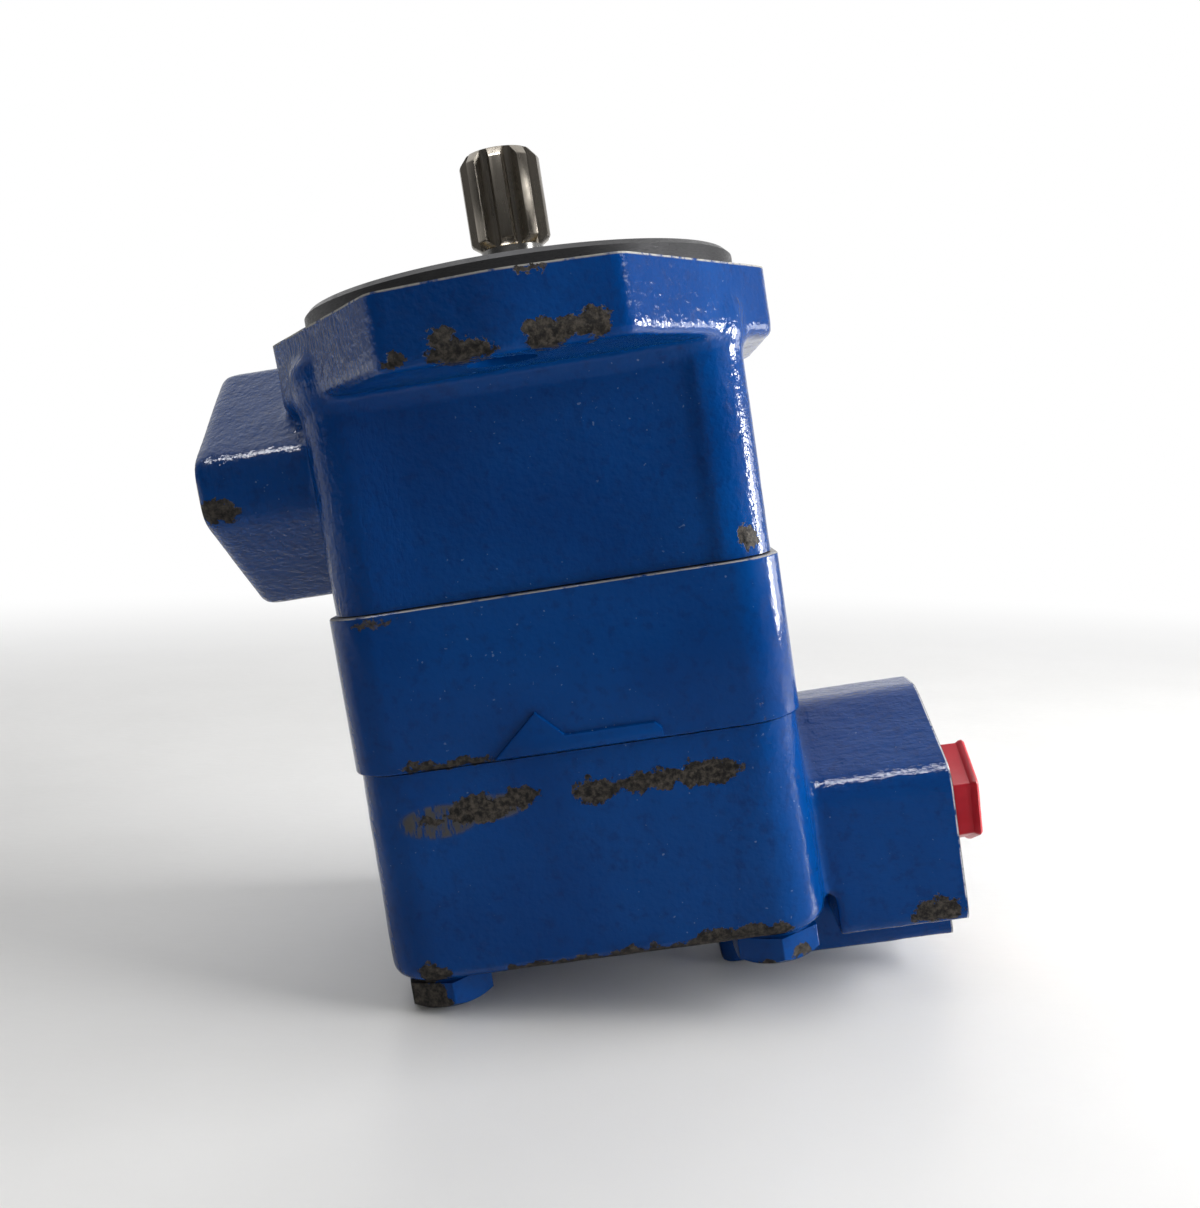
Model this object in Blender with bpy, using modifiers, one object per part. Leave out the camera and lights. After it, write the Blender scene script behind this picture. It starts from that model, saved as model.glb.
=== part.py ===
"""Hydraulic vane motor, modelled piece by piece in metres, with +Z towards the drive shaft.

The origin is the centre of the rear cover's rear face, on the shaft's axis. +X is the outlet
side, -X the inlet side, and -Y the side with the flow arrow. The housing is a stack: rear cover,
cam ring and front body, held together by four long screws.
"""
import math

import bmesh
import bpy
from mathutils import Matrix, Vector

# Gaps between pieces that touch or fit in each other, and how far a cutter reaches past a face
SEAT_GAP = 0.0003
FIT_GAP = 0.0002
SCREW_HOLE_GAP = 0.0004
OVERCUT = 0.001
LONG_OVERCUT = 0.003

# Housing stack, from the rear face to the shaft's end
COVER_LENGTH = 0.03755
RING_LENGTH = 0.0275
BODY_LENGTH = 0.03655
FLANGE_THICKNESS = 0.0121
PILOT_HEIGHT = 0.0063
SHAFT_PROJECTION = 0.0328

RING_REAR = COVER_LENGTH + SEAT_GAP
RING_FRONT = RING_REAR + RING_LENGTH
BODY_REAR = RING_FRONT + SEAT_GAP
FLANGE_REAR = BODY_REAR + BODY_LENGTH
MOUNT_FACE = FLANGE_REAR + FLANGE_THICKNESS
PILOT_FACE = MOUNT_FACE + PILOT_HEIGHT
SHAFT_END = MOUNT_FACE + SHAFT_PROJECTION

# Square housing section: its width follows from the cover screws
SCREW_EDGE = 0.0090
HOUSING_CORNER = 0.0095
RING_PROUD = 0.0010
COVER_PROUD = 0.0003
COVER_FLARE = 0.013
CAST_RIM = 0.0025
FACE_RECESS = 0.0006
RECESS_CORNER = 0.0040
COLUMN_WIDTH = 0.0095
COLUMN_PROUD = 0.0009
COLUMN_RISE = 0.0078
FLANGE_FILLET = 0.0016

# Mounting flange, pilot and bolt holes
FLANGE_TIP_RADIUS = 0.0635
FLANGE_TIP_HALF_WIDTH = 0.0190
FLANGE_SIDE_HALF_WIDTH = 0.0448
FLANGE_SIDE_HALF_LENGTH = 0.0223
FLANGE_TIP_CORNER = 0.0030
FLANGE_SIDE_CORNER = 0.0070
FLANGE_RIM = 0.0012
PILOT_RADIUS = 0.041275
PILOT_CHAMFER = 0.0009
BOLT_HOLE_RADIUS = 0.00555
BOLT_EDGE = 0.0103
BOLT_CIRCLE_RADIUS = FLANGE_TIP_RADIUS - BOLT_EDGE

# Inlet boss on the front body
INLET_FACE = 0.0604
INLET_SETBACK = 0.0239
INLET_HEIGHT = MOUNT_FACE - INLET_SETBACK
INLET_HALF_WIDTH = 0.0270
INLET_HALF_HEIGHT = 0.0221
INLET_FLAT_HALF_HEIGHT = 0.0058
INLET_RIDGE_HALF_WIDTH = 0.0030
INLET_CORNER = 0.0040
INLET_RIM = 0.0012
INLET_BORE_RADIUS = 0.0152
INLET_BORE_DEPTH = 0.0220
GALLERY_SETBACK = 0.0100
GALLERY_LENGTH = 0.0145
GALLERY_WALL = 0.0035
GALLERY_REACH = 0.0030

# Outlet boss and pad on the rear cover
OUTLET_FACE = 0.0645
OUTLET_HEIGHT = 0.0097
OUTLET_HALF_WIDTH = 0.0285
OUTLET_BASE = -0.0060
OUTLET_SHOULDER = 0.0220
OUTLET_TOP = 0.0335
OUTLET_RIDGE_HALF_WIDTH = 0.0062
OUTLET_CORNER = 0.0022
OUTLET_SHOULDER_CORNER = 0.0055
OUTLET_RIM = 0.0009
OUTLET_BORE_RADIUS = 0.0086
OUTLET_BORE_DEPTH = 0.0190
OUTLET_CORE_RADIUS = 0.0062
OUTLET_CONE_LENGTH = 0.0020
NOTCH_OVERCUT = 0.005
PAD_START = 0.0195
PAD_HALF_WIDTH = 0.0120
PAD_DEPTH = 0.0150
PAD_CORNER = 0.0025
PAD_SETBACK = 0.0005
HEAD_ROOM = 0.84

# Cover screws and locating pins
SCREW_LAND = 0.00317
SCREW_RADIUS = 0.00475
SCREW_GRIP = 0.0200
SCREW_TIP_CHAMFER = 0.0010
SCREW_HEAD_FLATS = 0.0143
SCREW_HEAD_HEIGHT = 0.0052
SCREW_HEAD_BEVEL = 0.0003
SCREW_HEAD_SLOPE = math.radians(30)
SCREW_TURN = math.radians(11)
TAPPED_HOLE_RUNOUT = 0.0020
PIN_RADIUS = 0.0016
PIN_LAND = 0.0055
PIN_ENGAGEMENT = 0.0055

# Cam ring, rotor and vanes
CAM_MINOR_RADIUS = 0.0215
CAM_LIFT = 0.0025
ROTOR_CLEARANCE = 0.0003
VANE_COUNT = 12
VANE_THICKNESS = 0.0018
VANE_HEIGHT = 0.0082
VANE_TIP_CLEARANCE = 0.0002
VANE_SLOT_CLEARANCE = 0.0001
VANE_SLOT_DEPTH = 0.0090
VANE_SLOT_KEYHOLE = 0.0015
VANE_TIP_BULGE = 0.7
KIDNEY_WIDTH = 0.0040
KIDNEY_SPAN = math.radians(44)
INLET_KIDNEYS = (135, 315)
OUTLET_KIDNEYS = (45, 225)

# Flow arrow on the cam ring
ARROW_HALF_LENGTH = 0.0146
ARROW_HEAD_LENGTH = 0.0082
ARROW_HEAD_HEIGHT = 0.0073
ARROW_BAR_HEIGHT = 0.0028
ARROW_RELIEF = 0.0009
ARROW_ROOT = 0.0020
ARROW_SHIFT = 0.0010

# Pressure plate, spring and the chamber behind them
PLATE_EDGE = 0.0010
PLATE_THICKNESS = 0.0130
PLATE_FLOAT = 0.0008
PLATE_BACK_ROOM = 0.0020
PLATE_POCKET_DEPTH = 0.0090
PLATE_SEAL_SETBACK = 0.0100
FEED_GROOVE_DEPTH = 0.0012
CHAMBER_RADIUS = 0.0210
CHAMBER_FLOOR = 0.0095
SPRING_RADIUS = 0.0150
SPRING_WIRE_RADIUS = 0.0012
SPRING_TURNS = 2.5
SPRING_STEPS = 12

# Seal rings
SEAL_SECTION = 0.00085
SEAL_SIDE_GAP = 0.0002
SEAL_LAND = 0.0014

# Ball bearing
BEARING_BORE_RADIUS = 0.0085
BEARING_OUTER_RADIUS = 0.0200
BEARING_WIDTH = 0.0120
BEARING_RECESS = 0.0032
BALL_COUNT = 8
BALL_SHARE = 0.293
BALL_GAP = 0.0003
RACE_LAND_SHARE = 0.653
CAGE_THICKNESS = 0.0014
CAGE_RIM = 0.00083

# Snap rings
SNAP_RING_THICKNESS = 0.0015
SNAP_RING_BAND = 0.0022
SNAP_GROOVE_DEPTH = 0.0011
SNAP_RING_MOUTH = math.radians(34)
SNAP_RING_TURN = 250
LUG_DEPTH = 1.7
LUG_WIDTH = 1.5
LUG_HOLE = 0.32

# Shaft seal and bush
SEAL_JOURNAL_RADIUS = 0.0096
SEAL_OUTER_RADIUS = 0.0150
SEAL_WIDTH = 0.0070
SEAL_SETBACK = 0.0010
SEAL_CASE_WALL = 0.0009
SEAL_WINDOW_GAP = 0.0022
LIP_THICKNESS = 0.0016
LIP_WEB = 0.0012
LIP_EDGE_HEIGHT = 0.0022
LIP_TAPER = 0.0006
GARTER_SECTION = 0.0006
BUSH_WALL = 0.0023
BUSH_LENGTH = 0.0160
BUSH_SETBACK = 0.0018

# Drive shaft
SPLINE_TEETH = 9
SPLINE_PITCH_RADIUS = 0.007145
SPLINE_MAJOR_RADIUS = 0.00773
SPLINE_ROOT_RADIUS = 0.0060
SPLINE_FLANK = math.radians(30)
SPLINE_LENGTH = 0.0196
SPLINE_CHAMFER = 0.0012
SPLINE_GAP = 0.00015
SPLINE_RUNOUT = 0.0004
SPACE_OVERCUT = 0.0015
NECK_RADIUS = 0.0060
NECK_TAPER = 0.0020
JOURNAL_CHAMFER = 0.0010
STUB_RADIUS = 0.0056
STUB_LENGTH = 0.0070
STUB_CHAMFER = 0.0008

# Plastic plug in the outlet port
PLUG_HEAD_FLATS = 0.0180
PLUG_HEAD_LENGTH = 0.0085
PLUG_HEAD_TURN = math.radians(33)
PLUG_LIP_LENGTH = 0.0014
PLUG_LIP_FLARE = 0.0004
PLUG_STEM_LENGTH = 0.0090
PLUG_RIB_PITCH = 0.0030
PLUG_RIB_RISE = 0.0004
PLUG_WALL = 0.0016

# Smoothness of round shapes
LARGE_STEPS = 42
ROUND_STEPS = 24
HIDDEN_STEPS = 18
SMALL_STEPS = 14
CORNER_STEPS = 3
RIM_STEPS = 2
CAM_STEPS = 60
SECTION_STEPS = 6
BALL_SEGMENTS = 10
BALL_RINGS = 6
SMOOTH_ANGLE = math.radians(35)
JOINT_MARK_SIZE = 0.01

# Sizes that follow from the ones above, from the cam track outwards
ROTOR_RADIUS = CAM_MINOR_RADIUS - ROTOR_CLEARANCE
KIDNEY_OUTER_RADIUS = CAM_MINOR_RADIUS
KIDNEY_INNER_RADIUS = KIDNEY_OUTER_RADIUS - KIDNEY_WIDTH
PIN_CIRCLE_RADIUS = CAM_MINOR_RADIUS + PIN_LAND
PLATE_RADIUS = PIN_CIRCLE_RADIUS + PIN_RADIUS + PLATE_EDGE
PLATE_BORE_RADIUS = PLATE_RADIUS + SEAT_GAP
PLATE_FRONT = COVER_LENGTH
PLATE_REAR = PLATE_FRONT - PLATE_THICKNESS
FACE_GROOVE_DEPTH = 2 * SEAL_SECTION
SEAL_GROOVE_HALF_WIDTH = SEAL_SECTION + SEAL_SIDE_GAP
FACE_SEAL_RADIUS = PLATE_BORE_RADIUS + SEAL_LAND + SEAL_GROOVE_HALF_WIDTH
SCREW_HOLE_RADIUS = SCREW_RADIUS + SCREW_HOLE_GAP
SCREW_CIRCLE_RADIUS = FACE_SEAL_RADIUS + SEAL_GROOVE_HALF_WIDTH + SCREW_LAND + SCREW_HOLE_RADIUS
SCREW_OFFSET = SCREW_CIRCLE_RADIUS / math.sqrt(2)
HALF_WIDTH = SCREW_OFFSET + SCREW_EDGE
BEARING_FRONT = PILOT_FACE - BEARING_RECESS
BEARING_REAR = BEARING_FRONT - BEARING_WIDTH
BEARING_SHOULDER = BEARING_REAR - SEAT_GAP
BEARING_MIDDLE = (BEARING_FRONT + BEARING_REAR) / 2
BALL_CIRCLE_RADIUS = (BEARING_OUTER_RADIUS + BEARING_BORE_RADIUS) / 2
BALL_RADIUS = (BEARING_OUTER_RADIUS - BEARING_BORE_RADIUS) * BALL_SHARE
RACE_LAND_GAP = BALL_RADIUS * RACE_LAND_SHARE
CAGE_HALF_WIDTH = BALL_RADIUS + BALL_GAP + CAGE_RIM
SNAP_RING_REAR = BEARING_FRONT + SEAT_GAP
SNAP_RING_FRONT = SNAP_RING_REAR + SNAP_RING_THICKNESS
SHAFT_SEAL_FRONT = BEARING_SHOULDER - SEAL_SETBACK
SHAFT_SEAL_REAR = SHAFT_SEAL_FRONT - SEAL_WIDTH
BUSH_RADIUS = BEARING_BORE_RADIUS + FIT_GAP + BUSH_WALL
BUSH_REAR = BODY_REAR + BUSH_SETBACK
BUSH_FRONT = BUSH_REAR + BUSH_LENGTH
PARTS = "hydraulic_vane_motor"
CUTTERS = "cutters"


def clear_scene():
    """Remove whatever the open file holds and make the two collections."""
    for obj in list(bpy.data.objects):
        bpy.data.objects.remove(obj)
    for name in (PARTS, CUTTERS):
        collection = bpy.data.collections.get(name) or bpy.data.collections.new(name)
        if collection.name not in bpy.context.scene.collection.children:
            bpy.context.scene.collection.children.link(collection)


def make_material(name, color, roughness, metallic=0.0):
    material = bpy.data.materials.new(name)
    material.use_nodes = True
    material.diffuse_color = (*color, 1.0)
    shader = material.node_tree.nodes["Principled BSDF"]
    shader.inputs["Base Color"].default_value = (*color, 1.0)
    shader.inputs["Roughness"].default_value = roughness
    shader.inputs["Metallic"].default_value = metallic
    return material


def make_materials():
    return {
        "enamel": make_material("blue_enamel", (0.010, 0.085, 0.420), 0.25),
        "steel": make_material("ground_steel", (0.45, 0.44, 0.42), 0.35, 1.0),
        "bronze": make_material("bearing_bronze", (0.55, 0.36, 0.16), 0.4, 1.0),
        "rubber": make_material("seal_rubber", (0.02, 0.02, 0.02), 0.6),
        "plastic": make_material("red_plastic", (0.70, 0.02, 0.04), 0.4),
        "brass": make_material("cage_brass", (0.60, 0.45, 0.18), 0.35, 1.0),
    }


def evaluated_mesh(obj):
    """Return a new mesh of the object with its modifiers applied."""
    bpy.context.view_layer.update()
    depsgraph = bpy.context.evaluated_depsgraph_get()
    return bpy.data.meshes.new_from_object(obj.evaluated_get(depsgraph))


def tidy_mesh(mesh, shift=(0.0, 0.0, 0.0)):
    """Close seams, point the faces outwards and move the points by shift."""
    shape = bmesh.new()
    shape.from_mesh(mesh)
    bmesh.ops.remove_doubles(shape, verts=shape.verts, dist=1e-7)
    bmesh.ops.translate(shape, verts=shape.verts, vec=shift)
    bmesh.ops.recalc_face_normals(shape, faces=shape.faces)
    shape.to_mesh(mesh)
    shape.free()
    mesh.shade_smooth()
    mesh.set_sharp_from_angle(angle=SMOOTH_ANGLE)
    return mesh


def solid(name, mesh, place=None):
    """Put a mesh in the parts collection under its own name."""
    obj = bpy.data.objects.new(name, mesh)
    bpy.data.collections[PARTS].objects.link(obj)
    if place is not None:
        obj.matrix_world = place
    return obj


def finished(name, obj, material, parent=None):
    """Name a finished piece, give it its material and hang it on its joint's empty."""
    obj.name = name
    obj.data.materials.clear()
    obj.data.materials.append(material)
    if parent is not None:
        obj.parent = parent
        obj.matrix_parent_inverse = parent.matrix_world.inverted()
    return obj


def joint_empty(name, location):
    empty = bpy.data.objects.new(name, None)
    empty.empty_display_size = JOINT_MARK_SIZE
    empty.location = location
    bpy.data.collections[PARTS].objects.link(empty)
    bpy.context.view_layer.update()
    return empty


def baked(name, obj):
    """Replace an object by one whose mesh already holds its modifiers."""
    mesh = tidy_mesh(evaluated_mesh(obj))
    place = obj.matrix_world.copy()
    bpy.data.objects.remove(obj)
    return solid(name, mesh, place)


def taken_mesh(obj):
    """Keep an object's mesh, for several copies to share, and remove the object."""
    mesh = obj.data
    bpy.data.objects.remove(obj)
    return mesh


def outline_solid(name, outlines, low, high):
    """Extrude flat closed outlines from height low to height high; inner outlines are holes."""
    curve = bpy.data.curves.new(name, "CURVE")
    curve.dimensions = "2D"
    curve.fill_mode = "BOTH"
    curve.extrude = (high - low) / 2
    for outline in outlines:
        spline = curve.splines.new("POLY")
        spline.points.add(len(outline) - 1)
        for point, (x, y) in zip(spline.points, outline):
            point.co = (x, y, 0, 1)
        spline.use_cyclic_u = True
    source = bpy.data.objects.new(name, curve)
    bpy.context.scene.collection.objects.link(source)
    mesh = tidy_mesh(evaluated_mesh(source), (0, 0, (low + high) / 2))
    bpy.data.objects.remove(source)
    return solid(name, mesh)


def turned(name, profile, steps=ROUND_STEPS, closed=False):
    """Turn a profile of (radius, height) points about Z; a closed profile makes a ring."""
    mesh = bpy.data.meshes.new(name)
    points = [(radius, 0, height) for radius, height in profile]
    edges = [(i, i + 1) for i in range(len(points) - 1)]
    if closed:
        edges.append((len(points) - 1, 0))
    mesh.from_pydata(points, edges, [])
    source = bpy.data.objects.new(name, mesh)
    bpy.context.scene.collection.objects.link(source)
    screw = source.modifiers.new("turn", "SCREW")
    screw.steps = steps
    screw.render_steps = steps
    screw.use_merge_vertices = True
    screw.merge_threshold = 1e-6
    return baked(name, source)


def rounded_outline(corners, inset=0.0, steps=CORNER_STEPS):
    """Outline of a convex polygon of (x, y, radius) corners, moved inwards by inset."""
    points = []
    for index, (x, y, radius) in enumerate(corners):
        here = Vector((x, y))
        back = (Vector(corners[index - 1][:2]) - here).normalized()
        ahead = (Vector(corners[(index + 1) % len(corners)][:2]) - here).normalized()
        centre = here + (back + ahead).normalized() * radius / math.sin(back.angle(ahead) / 2)
        start = math.atan2(back.x, -back.y)
        turn = (math.atan2(-ahead.x, ahead.y) - start) % math.tau
        for step in range(steps + 1):
            angle = start + turn * step / steps
            reach = radius - inset
            points.append((centre.x + reach * math.cos(angle), centre.y + reach * math.sin(angle)))
    return points


def rim_levels(low, high, low_rim=0.0, high_rim=0.0):
    """Heights and insets of a prism whose lower and upper edges are rounded."""
    lower = [(low, 0.0)]
    if low_rim:
        lower = [rim_point(low, low_rim, step) for step in range(RIM_STEPS + 1)]
    upper = [(high, 0.0)]
    if high_rim:
        upper = [rim_point(high, high_rim, step, -1) for step in range(RIM_STEPS, -1, -1)]
    return lower + upper


def rim_point(end, rim, step, side=1):
    angle = math.pi / 2 * step / RIM_STEPS
    return end + side * rim * (1 - math.cos(angle)), rim * (1 - math.sin(angle))


def lofted(name, corners, levels, place=None):
    """Solid through the insets of one rounded outline, given as (height, inset) levels."""
    shape = bmesh.new()
    rings = []
    for height, inset in levels:
        outline = rounded_outline(corners, inset)
        rings.append([shape.verts.new((x, y, height)) for x, y in outline])
    for lower, upper in zip(rings, rings[1:]):
        for i in range(len(lower)):
            j = (i + 1) % len(lower)
            shape.faces.new((lower[i], lower[j], upper[j], upper[i]))
    shape.faces.new(list(reversed(rings[0])))
    shape.faces.new(rings[-1])
    mesh = bpy.data.meshes.new(name)
    shape.to_mesh(mesh)
    shape.free()
    return solid(name, tidy_mesh(mesh), place)


def cylinder(name, radius, low, high, steps=SMALL_STEPS):
    return turned(name, [(0, high), (radius, high), (radius, low), (0, low)], steps)


def moved(obj, x=0.0, y=0.0, z=0.0):
    obj.matrix_world = Matrix.Translation((x, y, z)) @ obj.matrix_world
    return obj


def facing_x(side, height=0.0):
    """Placement that turns local Z towards +X or -X and keeps local Y up, as height."""
    turn = Matrix(((0, 0, side), (side, 0, 0), (0, 1, 0))).to_4x4()
    return Matrix.Translation((0, 0, height)) @ turn


def cut(target, *cutters):
    for cutter in cutters:
        use_boolean(target, cutter, "DIFFERENCE")


def join(target, *additions):
    for addition in additions:
        use_boolean(target, addition, "UNION")


def keep_inside(target, envelope):
    use_boolean(target, envelope, "INTERSECT")


def use_boolean(target, tool, operation):
    """Add a Boolean modifier and put its tool among the hidden cutters."""
    modifier = target.modifiers.new(tool.name, "BOOLEAN")
    modifier.operation = operation
    modifier.object = tool
    tool.hide_render = True
    tool.display_type = "WIRE"
    for collection in tool.users_collection:
        collection.objects.unlink(tool)
    bpy.data.collections[CUTTERS].objects.link(tool)


def polar(radius, angle):
    return radius * math.cos(angle), radius * math.sin(angle)


def square_corners(half_width, corner):
    signs = ((1, -1), (1, 1), (-1, 1), (-1, -1))
    return [(half_width * sx, half_width * sy, corner) for sx, sy in signs]


def box_corners(x_low, x_high, y_low, y_high, corner):
    places = ((x_high, y_low), (x_high, y_high), (x_low, y_high), (x_low, y_low))
    return [(x, y, corner) for x, y in places]


def screw_places():
    return [(SCREW_OFFSET * sx, SCREW_OFFSET * sy) for sx in (-1, 1) for sy in (-1, 1)]


def pin_places():
    return [(0, PIN_CIRCLE_RADIUS * side) for side in (-1, 1)]


def screw_holes(low, high):
    holes = []
    for index, (x, y) in enumerate(screw_places()):
        hole = cylinder(f"screw_hole_{index}", SCREW_HOLE_RADIUS, low, high)
        holes.append(moved(hole, x, y))
    return holes


def pin_holes(low, high):
    holes = []
    for index, (x, y) in enumerate(pin_places()):
        hole = cylinder(f"pin_hole_{index}", PIN_RADIUS + FIT_GAP, low, high, 12)
        holes.append(moved(hole, x, y))
    return holes


def ring_cutter(name, radius, half_width, low, high):
    inner, outer = radius - half_width, radius + half_width
    profile = [(inner, high), (outer, high), (outer, low), (inner, low)]
    return turned(name, profile, HIDDEN_STEPS, closed=True)


def seal_groove(name, low, high):
    return ring_cutter(name, FACE_SEAL_RADIUS, SEAL_GROOVE_HALF_WIDTH, low, high)


def kidney_outline(middle):
    """Arc-shaped port around the shaft's axis, centred on the angle middle."""
    angles = [middle + KIDNEY_SPAN * (step / 8 - 0.5) for step in range(9)]
    outer = [polar(KIDNEY_OUTER_RADIUS, angle) for angle in angles]
    inner = [polar(KIDNEY_INNER_RADIUS, angle) for angle in reversed(angles)]
    return outer + inner


def kidneys(name, degrees, low, high):
    outlines = [kidney_outline(math.radians(angle)) for angle in degrees]
    return outline_solid(name, outlines, low, high)


def face_recess(name, low, high):
    """Shallow flat between two corner columns, cut into the housing's front side."""
    half = HALF_WIDTH - COLUMN_WIDTH
    corners = box_corners(-half, half, low, high, RECESS_CORNER)
    levels = [(-FACE_RECESS, FACE_RECESS), (0.0, 0.0), (FACE_RECESS * 2, -FACE_RECESS)]
    place = Matrix.Translation((0, -HALF_WIDTH, 0)) @ Matrix.Rotation(math.pi / 2, 4, "X")
    return lofted(name, corners, levels, place)


def spin(obj, degrees):
    obj.matrix_world = Matrix.Rotation(math.radians(degrees), 4, "Z") @ obj.matrix_world
    return obj


def flange_corners():
    tip_depth = math.sqrt(FLANGE_TIP_RADIUS ** 2 - FLANGE_TIP_HALF_WIDTH ** 2)
    side = (FLANGE_SIDE_HALF_WIDTH, FLANGE_SIDE_HALF_LENGTH, FLANGE_SIDE_CORNER)
    tip = (FLANGE_TIP_HALF_WIDTH, tip_depth, FLANGE_TIP_CORNER)
    nose = (0, FLANGE_TIP_RADIUS, FLANGE_TIP_HALF_WIDTH)
    right = [side, tip, nose]
    left = [(-x, y, r) for x, y, r in reversed(right[:-1])]
    return right + left + [(-x, -y, r) for x, y, r in right + left]


def body_block():
    """Square part of the front body: it flares into the flange, and its corners end on the flanks."""
    levels = [(BODY_REAR, 0.0), (FLANGE_REAR - FLANGE_FILLET, 0.0)]
    for step in range(1, RIM_STEPS + 1):
        angle = math.pi / 2 * step / RIM_STEPS
        rise = FLANGE_FILLET * (1 - math.sin(angle))
        levels.append((FLANGE_REAR - rise, -FLANGE_FILLET * (1 - math.cos(angle))))
    for height, inset in rim_levels(FLANGE_REAR + OVERCUT, FLANGE_REAR + COLUMN_RISE, 0.0, CAST_RIM):
        levels.append((height, inset - COLUMN_PROUD))
    return lofted("front_body", square_corners(HALF_WIDTH, HOUSING_CORNER), levels)


def flange():
    levels = rim_levels(FLANGE_REAR, MOUNT_FACE, FLANGE_RIM, FLANGE_RIM / 3)
    return lofted("flange", flange_corners(), levels)


def pilot():
    root = MOUNT_FACE - FLANGE_THICKNESS / 3
    profile = [(0, PILOT_FACE), (PILOT_RADIUS - PILOT_CHAMFER, PILOT_FACE)]
    profile += [(PILOT_RADIUS, PILOT_FACE - PILOT_CHAMFER), (PILOT_RADIUS, root), (0, root)]
    return turned("pilot", profile, LARGE_STEPS)


def inlet_boss():
    quarter = [
        (INLET_HALF_WIDTH, INLET_FLAT_HALF_HEIGHT, INLET_CORNER),
        (INLET_RIDGE_HALF_WIDTH, INLET_HALF_HEIGHT, INLET_CORNER),
    ]
    corners = quarter + [(-x, y, r) for x, y, r in reversed(quarter)]
    corners += [(-x, -y, r) for x, y, r in corners]
    levels = rim_levels(HALF_WIDTH - HOUSING_CORNER, INLET_FACE, 0.0, INLET_RIM)
    return lofted("inlet_boss", corners, levels, facing_x(-1, INLET_HEIGHT))


def body_bore():
    """Everything turned from the pilot side: snap ring groove, bearing seat, seal and bush bores."""
    past = SEAT_GAP * 10
    bearing = BEARING_OUTER_RADIUS + FIT_GAP
    groove = bearing + SNAP_GROOVE_DEPTH
    seal = SEAL_OUTER_RADIUS + FIT_GAP
    bush = BUSH_RADIUS + FIT_GAP
    profile = [
        (0, PILOT_FACE + past),
        (bearing, PILOT_FACE + past),
        (bearing, SNAP_RING_FRONT + SEAT_GAP),
        (groove, SNAP_RING_FRONT + SEAT_GAP),
        (groove, SNAP_RING_REAR - SEAT_GAP / 2),
        (bearing, SNAP_RING_REAR - SEAT_GAP / 2),
        (bearing, BEARING_SHOULDER),
        (seal, BEARING_SHOULDER),
        (seal, SHAFT_SEAL_REAR - SEAT_GAP),
        (bush, SHAFT_SEAL_REAR - SEAT_GAP),
        (bush, BODY_REAR - past),
        (0, BODY_REAR - past),
    ]
    return turned("body_bore", profile, ROUND_STEPS)


def inlet_passage():
    """Port bore, the core behind it and the ring-shaped gallery that it feeds."""
    outside = INLET_FACE + SEAT_GAP * 10
    bottom = INLET_FACE - INLET_BORE_DEPTH
    profile = [(0, outside), (INLET_BORE_RADIUS, outside), (INLET_BORE_RADIUS, bottom), (0, bottom)]
    port = turned("inlet_bore", profile, ROUND_STEPS)
    port.matrix_world = facing_x(-1, INLET_HEIGHT)
    gallery_low = BODY_REAR + GALLERY_SETBACK
    gallery_high = gallery_low + GALLERY_LENGTH
    core_radius = (gallery_high - gallery_low) / 2 - FIT_GAP
    core = cylinder("inlet_core", core_radius, KIDNEY_OUTER_RADIUS, bottom + SEAT_GAP * 10)
    core.matrix_world = facing_x(-1, (gallery_low + gallery_high) / 2)
    inner = BUSH_RADIUS + GALLERY_WALL
    outer = KIDNEY_OUTER_RADIUS + GALLERY_REACH
    gallery = ring_cutter("gallery", (inner + outer) / 2, (outer - inner) / 2, gallery_low, gallery_high)
    ports = kidneys("inlet_kidneys", INLET_KIDNEYS, BODY_REAR - LONG_OVERCUT, gallery_low + OVERCUT)
    return port, core, gallery, ports


def bolt_holes():
    holes = []
    for side in (-1, 1):
        low, high = FLANGE_REAR - LONG_OVERCUT, MOUNT_FACE + LONG_OVERCUT
        hole = cylinder(f"bolt_hole_{side}", BOLT_HOLE_RADIUS, low, high)
        holes.append(moved(hole, 0, BOLT_CIRCLE_RADIUS * side))
    return holes


def make_front_body(materials):
    body = body_block()
    join(body, flange(), pilot(), inlet_boss())
    for degrees in (0, 90, 180):
        low = BODY_REAR - RECESS_CORNER - OVERCUT
        recess = face_recess(f"body_recess_{degrees}", low, FLANGE_REAR - FLANGE_FILLET)
        cut(body, spin(recess, degrees))
    cut(body, body_bore(), *inlet_passage(), *bolt_holes())
    low = BODY_REAR - OVERCUT
    cut(body, *screw_holes(low, BODY_REAR + SCREW_GRIP + TAPPED_HOLE_RUNOUT))
    cut(body, *pin_holes(low, BODY_REAR + PIN_ENGAGEMENT + SEAT_GAP))
    cut(body, seal_groove("body_seal_groove", low, BODY_REAR + FACE_GROOVE_DEPTH))
    return finished("front_body", body, materials["enamel"])


def cam_outline():
    """Two-lobed track: smallest across Y, largest along X."""
    points = []
    for step in range(CAM_STEPS):
        angle = math.tau * step / CAM_STEPS
        points.append(polar(cam_radius(angle), angle))
    return points


def cam_radius(angle):
    return CAM_MINOR_RADIUS + CAM_LIFT * math.cos(angle) ** 2


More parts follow.
